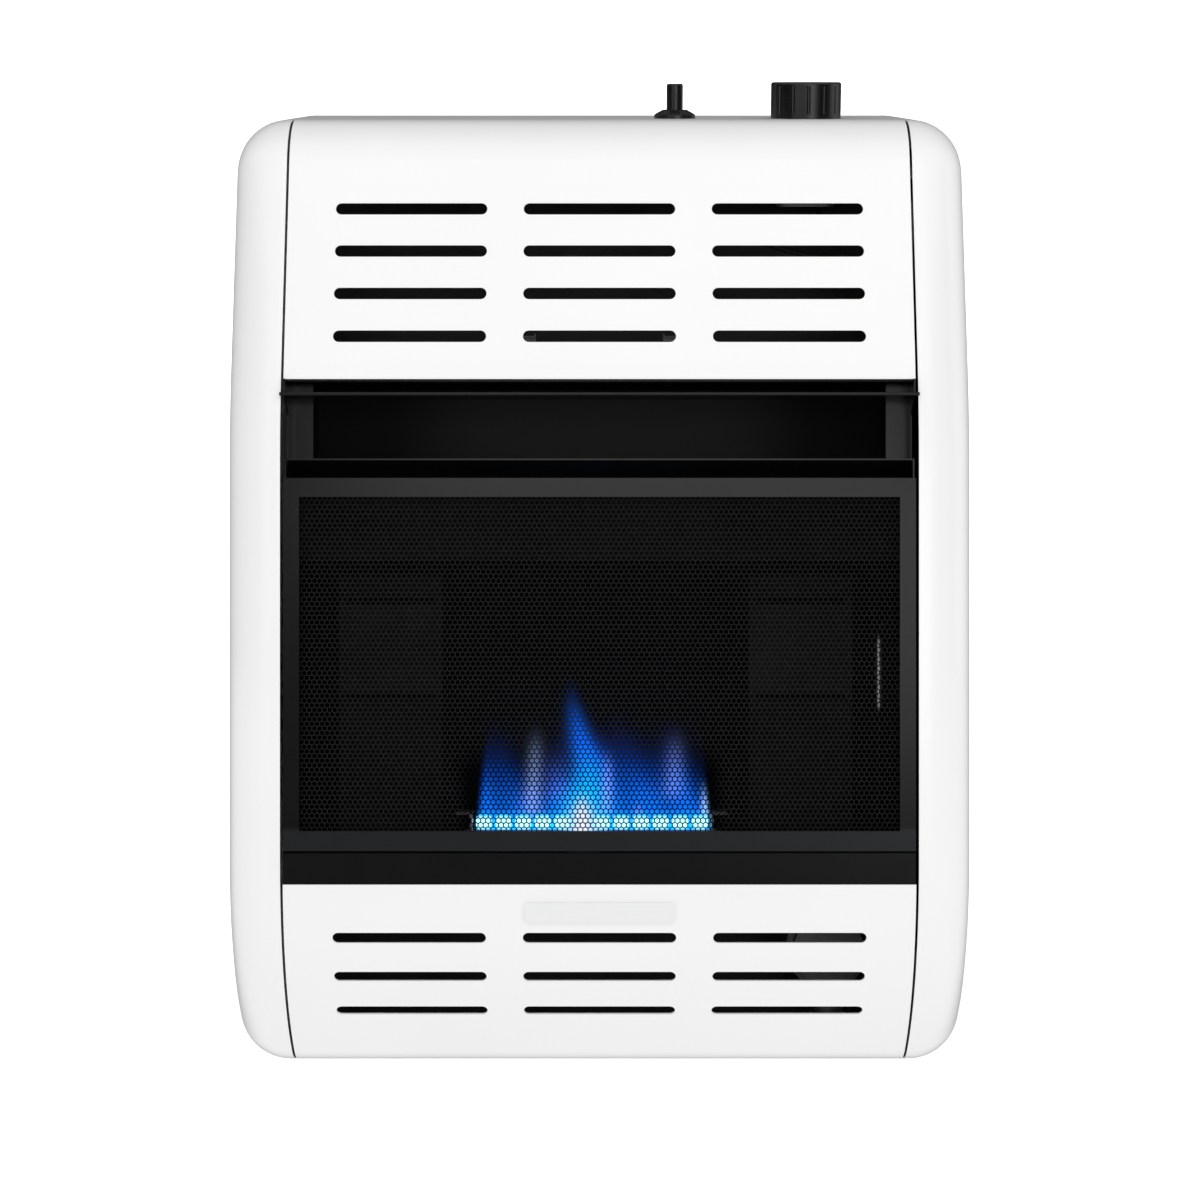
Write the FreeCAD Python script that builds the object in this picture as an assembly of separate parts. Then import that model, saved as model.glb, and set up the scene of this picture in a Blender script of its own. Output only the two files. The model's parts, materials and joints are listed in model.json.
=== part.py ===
import FreeCAD, Part
import math
import os

# A wall-hung, vent-free gas room heater. Millimetres, +X to the right, the wall is the plane Y = 0,
# the front looks towards -Y, +Z is up, and the origin is the middle of the wall screws.
# Heights are written above the base and pass through up(), depths are written behind the front plane
# and pass through back().

# Cabinet
DEPTH = 212.0                # wall plane to front plane
HALF_WIDTH = 231.0           # middle to the outside of a side shell
PANEL_GAP = 1.6              # shadow gap between a panel and a side shell
SHEET = 1.2                  # cabinet sheet
EDGE_R = 33.0                # outer rounding of the side shells
SHELL_FLAT = 2.4             # flat strip of a side shell beside its rounding
SCREW_LINE = 470.0           # height of the wall screws
CORNER_EXTRA = 3.0           # roll under the base, larger than the edge rounding
LOWER_R = 165.0              # roll of the lower front
LOWER_ARC_TOP = 135.0        # height where that roll starts
LEAN_START = 379.0           # height where the front starts to lean back
LEAN_R = 312.0
LEAN = 11.8                  # degrees
SHOULDER_START = 571.2       # height where the front rolls over into the deck
SHOULDER_EXTRA = 7.0         # roll into the deck, larger than the edge rounding
DECK_SLOPE = 12.2            # degrees, rising towards the wall
REAR_INSET = 3.6             # back panel behind the rim of the side shells
FLANGE = 12.0                # usual width of a folded edge
SEAT_GAP = 0.3               # room between sheet pieces that are only set together
SPARE = 1.0                  # cutters run this far past what they cut

# Front panels, vent slots and badge
LOWER_PANEL_TOP = 121.2
OUTLET_HEIGHT = 61.0         # from the guard up to the upper panel
SLOT_MARGIN = 29.8           # panel beside the outer slots
SLOT_GAP = 22.7              # panel between two slots
SLOTS_PER_ROW = 3
UPPER_SLOT_HEIGHT = 7.3
UPPER_ROWS = 4
UPPER_ROW_START = 26.8       # first row above the panel's edge
UPPER_ROW_PITCH = 27.05
LOWER_SLOT_HEIGHT = 6.8
LOWER_ROWS = 3
LOWER_ROW_START = 33.5       # first row below the panel's edge
LOWER_ROW_PITCH = 27.1       # along the rolled panel
BADGE_WIDTH = 93.0
BADGE_HEIGHT = 13.0
BADGE_LIFT = 0.9
BADGE_DROP = 17.7            # middle of the badge below the panel's edge
BADGE_ROUND = 3.0

# Guard, rail and louvers
RAIL_HEIGHT = 19.5
RAIL_FRONT = 1.0             # rail behind the front plane
GUARD_HEIGHT = 228.9
GUARD_SIDE_GAP = 0.3         # guard narrower than the panels, each side
GUARD_SIDE_BAR = 9.8
GUARD_TOP_BAR = 11.6
GUARD_BOTTOM_BAR = 12.7
GUARD_SHEET = 1.2
GUARD_RETURN = 14.0
GUARD_LIP = 4.0              # inner edge folded back to the net
NET_SHEET = 1.0
NET_COLUMNS = 24
NET_ROWS = 12
NET_OPEN = 0.8               # hole width over pitch
NET_TUCK = 5.0               # net behind the bars, all round
LOUVER_SHEET = 1.0
LOUVER_RUN = 25.0
UPPER_LOUVER_DROP = 1.0
LOWER_LOUVER_DROP = 12.5
UPPER_LOUVER_GAP = 9.0       # below the upper panel
UPPER_LOUVER_DEPTH = 0.4
LOWER_LOUVER_GAP = 12.3      # above the guard
LOWER_LOUVER_DEPTH = 7.0
HEM_HEIGHT = 2.2
HEM_DEPTH = 2.2
HEM_OVERHANG = 2.0           # hem past the panel edge
HEM_ROUND = 0.4              # rounding over the hem's smaller side
BRACKET_FRONT = 2.0          # outlet bracket behind the front plane, at the upper louver
BRACKET_HORN = 12.0          # height of the bracket's sloped edge under the upper louver
BRACKET_REACH = 3.0          # outlet bracket behind the lower louver
BRACKET_FLANGE = 14.5

# Firebox
FIRE_SIDE_GAP = 1.7          # firebox narrower than the guard, each side
FIRE_SHEET = 1.0
FIRE_BACK = 168.0            # depth of the back plate
SHELF_LIFT = 1.8             # shelf above the edge of the lower panel
HOOD_REAR_RISE = 40.0
LINTEL_DEPTH = 40.0
LINTEL_HEIGHT = 50.2
BAFFLE_DEPTH = 52.0
BAFFLE_HEIGHT = 187.0
BAFFLE_SLOT_DROPS = (16.0, 76.5)
BAFFLE_SLOT_HEIGHT = 4.0
BAFFLE_SLOT_MARGIN = 5.0
BAFFLE_WIDTH = 65.5
LEFT_BAFFLE_GAP = 26.0       # from the left firebox wall
RIGHT_BAFFLE_GAP = 31.0      # from the right firebox wall
AIR_SLOTS = 5
AIR_SLOT_LENGTH = 25.6
AIR_SLOT_WIDTH = 10.0
AIR_SLOT_PITCH = 30.7

# Burner and pilot
BURNER_DEPTH = 98.0
BURNER_R = 10.0
BURNER_WALL = 1.0
BURNER_LIFT = 2.0            # burner above the shelf
BURNER_LENGTH = 166.0
BURNER_MIDDLE = -5.0
PORT_CLUSTERS = 12
PORT_PITCH = 12.8
PORT_LENGTH = 10.0
PORT_WIDTH = 2.0
PORT_STRIP_WIDTH = 12.0
PORT_STRIP_LIFT = 2.0
MIXER_R = 7.0
MIXER_LENGTH = 44.0
MIXER_MOUTH_R = 9.5
MIXER_MOUTH = 8.0
ORIFICE_GAP = 3.0
ORIFICE_R = 6.0
ORIFICE_LENGTH = 16.0
BURNER_BRACKET_SHEET = 1.5
BURNER_BRACKET_WIDTH = 34.0
BURNER_BRACKET_INSET = 5.0
BURNER_BRACKET_RISE = 12.0   # bracket above the burner
BURNER_BRACKET_TAB = 10.0
BURNER_FOOT = 14.0
PILOT_X = -11.0
PILOT_DEPTH = 62.0
PILOT_R = 5.0
PILOT_HEIGHT = 21.0
PILOT_PLATE = 1.5
PILOT_PLATE_LIFT = 2.0
PILOT_PLATE_MARGIN = 6.0
ELECTRODE_X = 4.0
ELECTRODE_DEPTH = 79.0
CERAMIC_R = 3.2
CERAMIC_HEIGHT = 15.0
TIP_R = 0.8
TIP_RISE = 5.0
THERMOCOUPLE_X = -27.0
THERMOCOUPLE_DEPTH = 71.0
THERMOCOUPLE_R = 2.5
THERMOCOUPLE_HEIGHT = 17.0

# Pilot tube and leads, which come down outside the right firebox wall and pass through it
LEAD_ROW_LIFT = 12.0         # above the shelf
LEAD_OUTSIDE = 7.5           # outside the right firebox wall
LEAD_INSIDE = 13.0           # inside the right firebox wall
LEAD_DEPTHS = (70.0, 77.0, 84.0)
LEAD_HOLE_CLEAR = 1.0
PILOT_ENTRY_LIFT = 146.0     # pilot tube's wall hole above the row of leads
LEAD_DROPS = (40.0, 40.0, 60.0)  # fall from a fitting to the outside of the wall
LEAD_SWEEP = 34.0            # sideways run of the bend on the shelf
LEAD_EXIT = 12.0             # straight run out of a fitting
LEAD_BEND = 12.0
BEND_SHARE = 0.45            # most of a straight run that a bend may take
PILOT_TUBE_R = 2.0
THERMO_LEAD_R = 1.4
SPARK_LEAD_R = 1.75

# Gas inlet, regulator and tubes
GAS_TUBE_R = 4.75
TUBE_BEND = 18.0
TUBE_HOLE_CLEAR = 1.5
REGULATOR_INSET = 42.0       # inside the right firebox wall
REGULATOR_HEIGHT = 66.0
REGULATOR_R = 27.0
REGULATOR_THICK = 26.0
REGULATOR_RIM = 4.0
REGULATOR_BOSS_R = 10.0
INLET_R = 7.3                # wall of the 3/8 inch pipe thread
INLET_LENGTH = 14.0
INLET_WALL = 4.7
INLET_MOUTH = 6.0            # height of the mouth
INLET_FLOOR = 4.0
INLET_CLEAR = 5.0            # room round the inlet in the base pan
NUT_R = 8.0
NUT_LENGTH = 10.0

# Controls on the deck
CONTROL_DEPTH = 100.0
RUNNING = 0.05               # radial running clearance
DECK_HOLE_CLEAR = 0.4
KNOB_INSET = 59.5            # knob inside the panel's right edge
KNOB_R = 22.8
KNOB_HEIGHT = 29.9
KNOB_SHOW = 23.2             # knob's face above the deck
KNOB_HOLE_CLEAR = 1.0        # deck hole round the knob
KNOB_WALL = 2.4
KNOB_PUSH = 3.0
KNOB_CLEAR = 0.4             # left above the valve bracket when the knob is pushed in
KNOB_EDGE = 1.6
KNOB_FLUTES = 14
FLUTE_R = 1.2
FLUTE_DEPTH = 0.8
FLUTE_LOW = 3.0              # groove above the deck
FLUTE_TOP = 2.4              # groove below the knob's face
KNOB_BOSS_R = 7.0
KNOB_BOSS_LIFT = 2.0         # boss above the knob's lower edge
POINTER_WIDTH = 2.0
POINTER_LENGTH = 12.0
POINTER_DEPTH = 0.6
STEM_R = 3.0
STEM_DEPTH = 14.0            # stem below the valve bracket
BONNET_WALL = 5.0
BONNET_RISE = 2.0
VALVE_SIDE = 36.0
VALVE_ROUND = 4.5
VALVE_BRACKET = 1.5
VALVE_BRACKET_X = 62.0
VALVE_BRACKET_Y = 46.0
VALVE_SCREW_X = 14.0
VALVE_FLOOR = 4.0
VALVE_SPRING_SPACE = 12.7
PLUNGER_R = 4.0
PLUNGER_LENGTH = 12.0
SPRING_WIRE = 0.8
SPRING_TURNS = 6
VALVE_PORT_R = 8.5
VALVE_PORT = 8.0
OUTLET_DROP = 22.0
INLET_DROP = 40.0
INLET_SIDE = 9.0
IGNITER_X = 49.0
BUTTON_R = 5.3
BUTTON_RISE = 16.6           # button above the collar
BUTTON_TRAVEL = 7.0
BUTTON_EDGE = 1.2
BUTTON_FIT = 0.08
BUTTON_DEPTH = 16.0          # button below the deck
IGNITER_WALL = 2.7
IGNITER_STEP = 1.5           # barrel wider than the neck
IGNITER_FLOOR = 5.0
IGNITER_HAMMER = 24.0        # room for the hammer and spring
COLLAR_R = 13.4
COLLAR_RIM = 3.0
COLLAR_EDGE = 0.8
COLLAR_WALL = 2.2
COLLAR_HEIGHT = 5.6

# Back panel, wall bracket and fasteners
WALL_SCREW_SPACING = 304.8
WALL_SCREW_R = 3.0
BRACKET_HALF = 165.0
BRACKET_HEIGHT = 40.0
BRACKET_SHEET = 1.6
POCKET_MARGIN = 12.0         # pocket round the wall bracket
POCKET_DEPTH = 11.0
HOOK_X = 60.0
HOOK_WIDTH = 30.0
HOOK_HEIGHT = 10.0
HOOK_LIP = 12.0
HOOK_SLOT_HEIGHT = 18.0
SCREW_R = 2.0
SCREW_HEAD_R = 4.0
SCREW_HEAD = 1.9
SCREW_LENGTH = 8.0
SCREW_FIT = 0.1
PANEL_SCREW_INSET = 19.0     # inside the outer face of a side shell
PANEL_SCREW_HEIGHTS = (60.0, 300.0, 540.0)

X_AXIS = FreeCAD.Vector(1, 0, 0)
Y_AXIS = FreeCAD.Vector(0, 1, 0)
Z_AXIS = FreeCAD.Vector(0, 0, 1)
MIDDLE = FreeCAD.Vector(0, 0, 0)

# Places that follow from the sizes above
SHELL_INNER = HALF_WIDTH - EDGE_R - SHELL_FLAT
PANEL_HALF = SHELL_INNER - PANEL_GAP
SLOT_LENGTH = (2 * PANEL_HALF - 2 * SLOT_MARGIN - (SLOTS_PER_ROW - 1) * SLOT_GAP) / SLOTS_PER_ROW
SLOT_PITCH = SLOT_LENGTH + SLOT_GAP
CORNER_R = EDGE_R + CORNER_EXTRA
SHOULDER_R = EDGE_R + SHOULDER_EXTRA
LOWER_TURN = math.degrees(math.asin((LOWER_ARC_TOP - CORNER_R) / (LOWER_R - CORNER_R)))
BASE_FRONT = -DEPTH + LOWER_R - (LOWER_R - CORNER_R) * math.cos(math.radians(LOWER_TURN))
LEAN_RAD = math.radians(LEAN)
SLOPE_RAD = math.radians(DECK_SLOPE)
LEAN_END = LEAN_START + LEAN_R * math.sin(LEAN_RAD)
LEAN_LENGTH = (SHOULDER_START - LEAN_END) / math.cos(LEAN_RAD)
SHOULDER_DEPTH = LEAN_R * (1 - math.cos(LEAN_RAD)) + LEAN_LENGTH * math.sin(LEAN_RAD)
DECK_FRONT_DEPTH = SHOULDER_DEPTH + SHOULDER_R * (math.cos(LEAN_RAD) - math.sin(SLOPE_RAD))
DECK_FRONT_HEIGHT = SHOULDER_START + SHOULDER_R * (math.cos(SLOPE_RAD) - math.sin(LEAN_RAD))
RAIL_BOTTOM = LOWER_PANEL_TOP + SEAT_GAP
RAIL_TOP = RAIL_BOTTOM + RAIL_HEIGHT
GUARD_BOTTOM = RAIL_TOP + SEAT_GAP
GUARD_TOP = GUARD_BOTTOM + GUARD_HEIGHT
GUARD_HALF = PANEL_HALF - GUARD_SIDE_GAP
GUARD_OPEN_HALF = GUARD_HALF - GUARD_SIDE_BAR
UPPER_PANEL_BOTTOM = GUARD_TOP + OUTLET_HEIGHT
UPPER_LOUVER_HEIGHT = UPPER_PANEL_BOTTOM - UPPER_LOUVER_GAP
LOWER_LOUVER_HEIGHT = GUARD_TOP + LOWER_LOUVER_GAP
LOUVER_HALF = GUARD_HALF - FIRE_SHEET - SEAT_GAP
BRACKET_DEPTH = LOWER_LOUVER_DEPTH + LOUVER_RUN + BRACKET_REACH
FIRE_HALF = GUARD_HALF - FIRE_SIDE_GAP
FIRE_INNER = FIRE_HALF - FIRE_SHEET
SHELF_HEIGHT = LOWER_PANEL_TOP + SHELF_LIFT
SHELF_TOP = SHELF_HEIGHT + FIRE_SHEET
SHELF_FRONT = GUARD_RETURN + SEAT_GAP
LINTEL_BOTTOM = GUARD_TOP - LINTEL_HEIGHT
BAFFLE_TOP = SHELF_TOP + BAFFLE_HEIGHT
LEFT_BAFFLE = (-FIRE_INNER + LEFT_BAFFLE_GAP, -FIRE_INNER + LEFT_BAFFLE_GAP + BAFFLE_WIDTH)
RIGHT_BAFFLE = (FIRE_INNER - RIGHT_BAFFLE_GAP - BAFFLE_WIDTH, FIRE_INNER - RIGHT_BAFFLE_GAP)
BURNER_Y = BURNER_DEPTH - DEPTH
BURNER_AXIS = SHELF_TOP + BURNER_LIFT + BURNER_R
BURNER_LEFT = BURNER_MIDDLE - BURNER_LENGTH / 2
BURNER_RIGHT = BURNER_MIDDLE + BURNER_LENGTH / 2
BURNER_FLAT = BURNER_AXIS + math.sqrt(BURNER_R ** 2 - (PORT_STRIP_WIDTH / 2) ** 2)
BRACKET_PLACES = ((BURNER_LEFT + BURNER_BRACKET_INSET, -1), (BURNER_RIGHT - BURNER_BRACKET_INSET, 1))
ORIFICE_START = BURNER_RIGHT - BURNER_WALL + MIXER_LENGTH + ORIFICE_GAP
ORIFICE_PLATE = ORIFICE_START + ORIFICE_LENGTH / 2
LEAD_ROW = SHELF_TOP + LEAD_ROW_LIFT
LEAD_OUTSIDE_X = FIRE_HALF + LEAD_OUTSIDE
LEAD_INSIDE_X = FIRE_HALF - LEAD_INSIDE
LEAD_ENTRIES = (LEAD_ROW + PILOT_ENTRY_LIFT, LEAD_ROW, LEAD_ROW)
LEAD_RADII = (PILOT_TUBE_R, THERMO_LEAD_R, SPARK_LEAD_R)
TUBE_COLUMN_X = (FIRE_HALF + HALF_WIDTH) / 2
REGULATOR_X = FIRE_HALF - REGULATOR_INSET
INLET_OUTER_R = INLET_R + INLET_WALL
INLET_TOP = INLET_MOUTH + INLET_LENGTH + INLET_FLOOR
CONTROL_Y = CONTROL_DEPTH - DEPTH
KNOB_X = PANEL_HALF - KNOB_INSET
KNOB_LOW = KNOB_SHOW - KNOB_HEIGHT
VALVE_PLATE = KNOB_LOW - KNOB_PUSH - KNOB_CLEAR
BONNET_R = STEM_R + BONNET_WALL
VALVE_TOP = VALVE_PLATE - VALVE_BRACKET
STEM_LOW = VALVE_PLATE - STEM_DEPTH
PLUNGER_TOP = STEM_LOW - SEAT_GAP
VALVE_DEPTH = -PLUNGER_TOP + PLUNGER_LENGTH + KNOB_PUSH + VALVE_SPRING_SPACE + VALVE_FLOOR
IGNITER_NECK_R = BUTTON_R + IGNITER_WALL
IGNITER_R = IGNITER_NECK_R + IGNITER_STEP
IGNITER_DEPTH = BUTTON_DEPTH + BUTTON_TRAVEL + IGNITER_HAMMER + IGNITER_FLOOR
COLLAR_TOP_R = BUTTON_R + SEAT_GAP + COLLAR_WALL
POCKET_HALF = BRACKET_HALF + POCKET_MARGIN
POCKET_TALL = BRACKET_HEIGHT / 2 + POCKET_MARGIN
PANEL_SCREW_X = HALF_WIDTH - PANEL_SCREW_INSET


def up(height):
    """Z of a height above the base."""
    return height - SCREW_LINE


def back(depth):
    """Y of a depth behind the front plane."""
    return depth - DEPTH


def at(x, y, z):
    return FreeCAD.Vector(x, y, z)


def block(x, y, z):
    """Box from three (low, high) ranges."""
    size = (x[1] - x[0], y[1] - y[0], z[1] - z[0])
    return Part.makeBox(size[0], size[1], size[2], at(x[0], y[0], z[0]))


def rod(start, axis, radius, length):
    return Part.makeCylinder(radius, length, start, axis)


def joined(shapes):
    return shapes[0].fuse(shapes[1:]).removeSplitter()


def group(shapes):
    return Part.makeCompound(shapes)


def mirrored(shape):
    return shape.mirror(MIDDLE, X_AXIS)


def side_prism(points, half):
    """Polygon of (y, z) points, extruded across the heater from -half to half."""
    corners = [at(-half, y, z) for y, z in points]
    face = Part.Face(Part.makePolygon(corners + corners[:1]))
    return face.extrude(X_AXIS * (2 * half))


def along(heading):
    turn = math.radians(heading)
    return at(0, math.sin(turn), math.cos(turn))


def inward(heading):
    turn = math.radians(heading)
    return at(0, math.cos(turn), -math.sin(turn))


def cabinet_outline(inset, rear):
    """Side outline of the cabinet as a face, moved inwards by inset, with its back at Y = rear."""
    moves = (
        (CORNER_R, 90 - LOWER_TURN),
        (LOWER_R, LOWER_TURN),
        (LEAN_START - LOWER_ARC_TOP, None),
        (LEAN_R, LEAN),
        (LEAN_LENGTH, None),
        (SHOULDER_R, 90 - DECK_SLOPE - LEAN),
    )
    heading = -90.0
    point = at(0, BASE_FRONT, up(0))
    first = point + inward(heading) * inset
    edges = []
    for size, turn in moves:
        if turn is None:
            shift = inward(heading) * inset
            end = point + along(heading) * size
            edges.append(Part.makeLine(point + shift, end + shift))
            point = end
        else:
            centre = point + inward(heading) * size
            three = [centre - inward(heading + turn * k) * (size - inset) for k in (0, 0.5, 1)]
            edges.append(Part.Arc(*three).toShape())
            heading += turn
            point = centre - inward(heading) * size
    deck = point + inward(heading) * inset
    deck_end = deck + along(heading) * ((rear - deck.y) / along(heading).y)
    foot = at(0, rear, up(0) + inset)
    edges.append(Part.makeLine(deck, deck_end))
    edges.append(Part.makeLine(deck_end, foot))
    edges.append(Part.makeLine(foot, first))
    return Part.Face(Part.Wire(edges))


def cabinet_slab(inset, rear, x0, x1):
    """Cabinet outline extruded between two X values."""
    slab = cabinet_outline(inset, rear).extrude(X_AXIS * (x1 - x0))
    slab.translate(at(x0, 0, 0))
    return slab


def rounded_slab(inset, rear, x0, x1, radius):
    """Cabinet slab whose outline is rounded over at the x1 side, all but the back."""
    slab = cabinet_slab(inset, rear, x0, x1)
    rim = []
    for edge in slab.Edges:
        box = edge.BoundBox
        on_side = box.XMin > x1 - 0.01
        on_back = box.YMin > rear - 0.01
        if on_side and not on_back:
            rim.append(edge)
    return slab.makeFillet(radius, rim)


def deck_place(x):
    """Placement on the outside of the deck at the controls, with its Z square to the deck."""
    height = DECK_FRONT_HEIGHT + (CONTROL_DEPTH - DECK_FRONT_DEPTH) * math.tan(SLOPE_RAD)
    return FreeCAD.Placement(at(x, CONTROL_Y, up(height)), FreeCAD.Rotation(X_AXIS, DECK_SLOPE))


def on_deck(shape, x):
    placed = shape.copy()
    placed.Placement = deck_place(x).multiply(placed.Placement)
    return placed


def deck_point(x, offset):
    """Point of the deck's own frame at X = x."""
    return deck_place(x).multVec(at(*offset))


def bent_tube(points, radius, bend):
    """Round tube along straight runs joined by tangent arcs."""
    edges = []
    last = points[0]
    for before, corner, after in zip(points, points[1:], points[2:]):
        way_in = (corner - before).normalize()
        way_out = (after - corner).normalize()
        half = way_in.getAngle(way_out) / 2
        shorter = min((corner - before).Length, (after - corner).Length)
        arc_r = min(bend, BEND_SHARE * shorter / math.tan(half))
        cut = arc_r * math.tan(half)
        start = corner - way_in * cut
        end = corner + way_out * cut
        to_centre = (way_out - way_in).normalize()
        middle = corner + to_centre * (arc_r / math.cos(half) - arc_r)
        edges.append(Part.makeLine(last, start))
        edges.append(Part.Arc(start, middle, end).toShape())
        last = end
    edges.append(Part.makeLine(last, points[-1]))
    circle = Part.makeCircle(radius, points[0], points[1] - points[0])
    return Part.Wire(edges).makePipeShell([Part.Wire(circle)], True, False)


def stadium(length, height, reach):
    """Slot cutter lying along X, centred, reaching along Y both ways."""
    radius = height / 2
    run = length / 2 - radius
    bar = block((-run, run), (-reach, reach), (-radius, radius))
    ends = [rod(at(x, -reach, 0), Y_AXIS, radius, 2 * reach) for x in (-run, run)]
    return joined([bar] + ends)


def turned(points):
    """Solid of revolution about Z from (radius, z) points."""
    corners = [at(r, 0, z) for r, z in points]
    face = Part.Face(Part.makePolygon(corners + corners[:1]))
    return face.revolve(MIDDLE, Z_AXIS, 360)


def corner_arc(start, corner, end):
    """Arc that touches the lines from a corner to two points equally far from it."""
    chord = (start + end) * 0.5
    rise = corner - chord
    half = (end - start).Length / 2
    turn = math.atan2(rise.Length, half)
    sag = half / math.sin(turn) * (1 - math.cos(turn))
    return Part.Arc(start, chord + rise.normalize() * sag, end).toShape()


def arc_pair(start, start_way, end, end_way):
    """Two arcs that leave start along start_way, meet smoothly, and reach end along end_way."""
    across = end - start
    a = 2 * (1 - start_way.dot(end_way))
    b = 2 * across.dot(start_way + end_way)
    reach = (-b + math.sqrt(b * b + 4 * a * across.dot(across))) / (2 * a)
    first = start + start_way * reach
    last = end - end_way * reach
    middle = (first + last) * 0.5
    return [corner_arc(start, first, middle), corner_arc(middle, last, end)]


def coil(radius, wire, low, high):
    """Compression spring about Z between two heights, each half turn a pair of arcs."""
    span = high - low - 2 * wire
    steps = 2 * SPRING_TURNS
    rise = span / steps
    points = [at(radius * (-1) ** k, 0, low + wire + k * rise) for k in range(steps + 1)]
    ways = [at(0, math.pi * radius * (-1) ** k, rise).normalize() for k in range(steps + 1)]
    edges = []
    for k in range(steps):
        edges += arc_pair(points[k], ways[k], points[k + 1], ways[k + 1])
    ring = Part.Wire(Part.makeCircle(wire / 2, points[0], ways[0]))
    print("gap between spring turns, mm:", round(2 * rise - wire, 2))
    return Part.Wire(edges).makePipeShell([ring], True, False)


def screw(place, axis):
    """Pan-head screw: head outside, shank along -axis."""
    head = rod(place, axis, SCREW_HEAD_R, SCREW_HEAD)
    shank = rod(place - axis * SCREW_LENGTH, axis, SCREW_R, SCREW_LENGTH)
    return joined([head, shank])


def screw_hole(place, axis):
    return rod(place - axis * SCREW_LENGTH, axis, SCREW_R + SCREW_FIT, 2 * SCREW_LENGTH)


def panel_screw_places():
    """Back-panel screws down both side shells."""
    rear = -REAR_INSET + SHEET
    return [at(side * PANEL_SCREW_X, rear, up(h)) for side in (-1, 1) for h in PANEL_SCREW_HEIGHTS]


def side_shell():
    """Right side shell: a tub with a rounded outer edge, open towards the middle."""
    outer = rounded_slab(0, 0, SHELL_INNER, HALF_WIDTH, EDGE_R)
    hollow = rounded_slab(SHEET, SPARE, SHELL_INNER - SPARE, HALF_WIDTH - SHEET, EDGE_R - SHEET)
    rear = (-REAR_INSET - SHEET, -REAR_INSET)
    tall = (up(0) - SPARE, up(2 * SHOULDER_START))
    hollow = hollow.cut(block((0, HALF_WIDTH), rear, tall))
    shell = outer.cut(hollow)
    holes = [screw_hole(p, Y_AXIS) for p in panel_screw_places() if p.x > 0]
    return shell.cut(holes)


def front_skin(low, high, y_end):
    """Cabinet sheet between the side shells, cut to a height range and ending at Y = y_end."""
    skin = cabinet_slab(0, 0, -PANEL_HALF, PANEL_HALF).cut(
        cabinet_slab(SHEET, -SHEET, -PANEL_HALF - SPARE, PANEL_HALF + SPARE))
    wide = (-HALF_WIDTH, HALF_WIDTH)
    return skin.common(block(wide, (back(-SPARE), y_end), (low, high)))


def folded_edge(z_range, y_range):
    """Sheet folded back from a panel edge, trimmed to the cabinet outline."""
    strip = block((-PANEL_HALF, PANEL_HALF), y_range, z_range)
    return strip.common(cabinet_slab(0, 0, -PANEL_HALF, PANEL_HALF))


def slot_columns():
    middle = (SLOTS_PER_ROW - 1) / 2
    return [(i - middle) * SLOT_PITCH for i in range(SLOTS_PER_ROW)]


def upper_front_panel():
    """Leaning front with vent slots, rolled over into the control deck, with a rear flange."""
    rear = -REAR_INSET
    skin = front_skin(up(UPPER_PANEL_BOTTOM), up(2 * SHOULDER_START), rear)
    hem = folded_edge((up(UPPER_PANEL_BOTTOM), up(UPPER_PANEL_BOTTOM) + SHEET),
                      (back(0), back(2 * FLANGE)))
    deck_rear = DECK_FRONT_HEIGHT + (DEPTH - DECK_FRONT_DEPTH) * math.tan(SLOPE_RAD)
    flange = folded_edge((up(deck_rear - 2 * FLANGE), up(deck_rear)), (rear - SHEET, rear))
    panel = joined([skin, hem, flange])
    cutter = stadium(SLOT_LENGTH, UPPER_SLOT_HEIGHT, SHOULDER_DEPTH + SPARE)
    first = UPPER_PANEL_BOTTOM + UPPER_ROW_START
    cuts = []
    for row in range(UPPER_ROWS):
        for x in slot_columns():
            slot = cutter.copy()
            slot.translate(at(x, back(0), up(first + row * UPPER_ROW_PITCH)))
            cuts.append(slot)
    for x, radius in ((KNOB_X, KNOB_R + KNOB_HOLE_CLEAR), (IGNITER_X, IGNITER_NECK_R + DECK_HOLE_CLEAR)):
        hole = rod(at(0, 0, -FLANGE), Z_AXIS, radius, 2 * FLANGE)
        cuts.append(on_deck(hole, x))
    return panel.cut(cuts)


def lower_front_panel():
    """Rolled-under panel with vent slots."""
    top = up(LOWER_PANEL_TOP)
    skin = front_skin(up(0), top, BASE_FRONT + FLANGE)
    hem = folded_edge((top - SHEET, top), (back(0), back(FLANGE)))
    panel = joined([skin, hem])
    roll = at(0, back(LOWER_R), up(LOWER_ARC_TOP))
    first_row = LOWER_PANEL_TOP - LOWER_ROW_START
    first = math.degrees(math.asin((LOWER_ARC_TOP - first_row) / LOWER_R))
    step = math.degrees(LOWER_ROW_PITCH / LOWER_R)
    cutter = stadium(SLOT_LENGTH, LOWER_SLOT_HEIGHT, FLANGE)
    cuts = []
    for row in range(LOWER_ROWS):
        for x in slot_columns():
            slot = cutter.copy()
            slot.translate(at(x, back(0), up(LOWER_ARC_TOP)))
            slot.rotate(roll, X_AXIS, first + row * step)
            cuts.append(slot)
    return panel.cut(cuts)


def badge_plate():
    """Blank plate that follows the rolled panel."""
    half = BADGE_WIDTH / 2
    plate = cabinet_slab(-BADGE_LIFT, 0, -half, half)
    plate = plate.cut(cabinet_slab(0, SPARE, -half - SPARE, half + SPARE))
    low = up(LOWER_PANEL_TOP - BADGE_DROP - BADGE_HEIGHT / 2)
    blank = block((-half, half), (back(-FLANGE), back(2 * FLANGE)), (low, low + BADGE_HEIGHT))
    corners = [e for e in blank.Edges if abs(e.tangentAt(e.FirstParameter).y) > 0.9]
    return plate.common(blank.makeFillet(BADGE_ROUND, corners))


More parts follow.
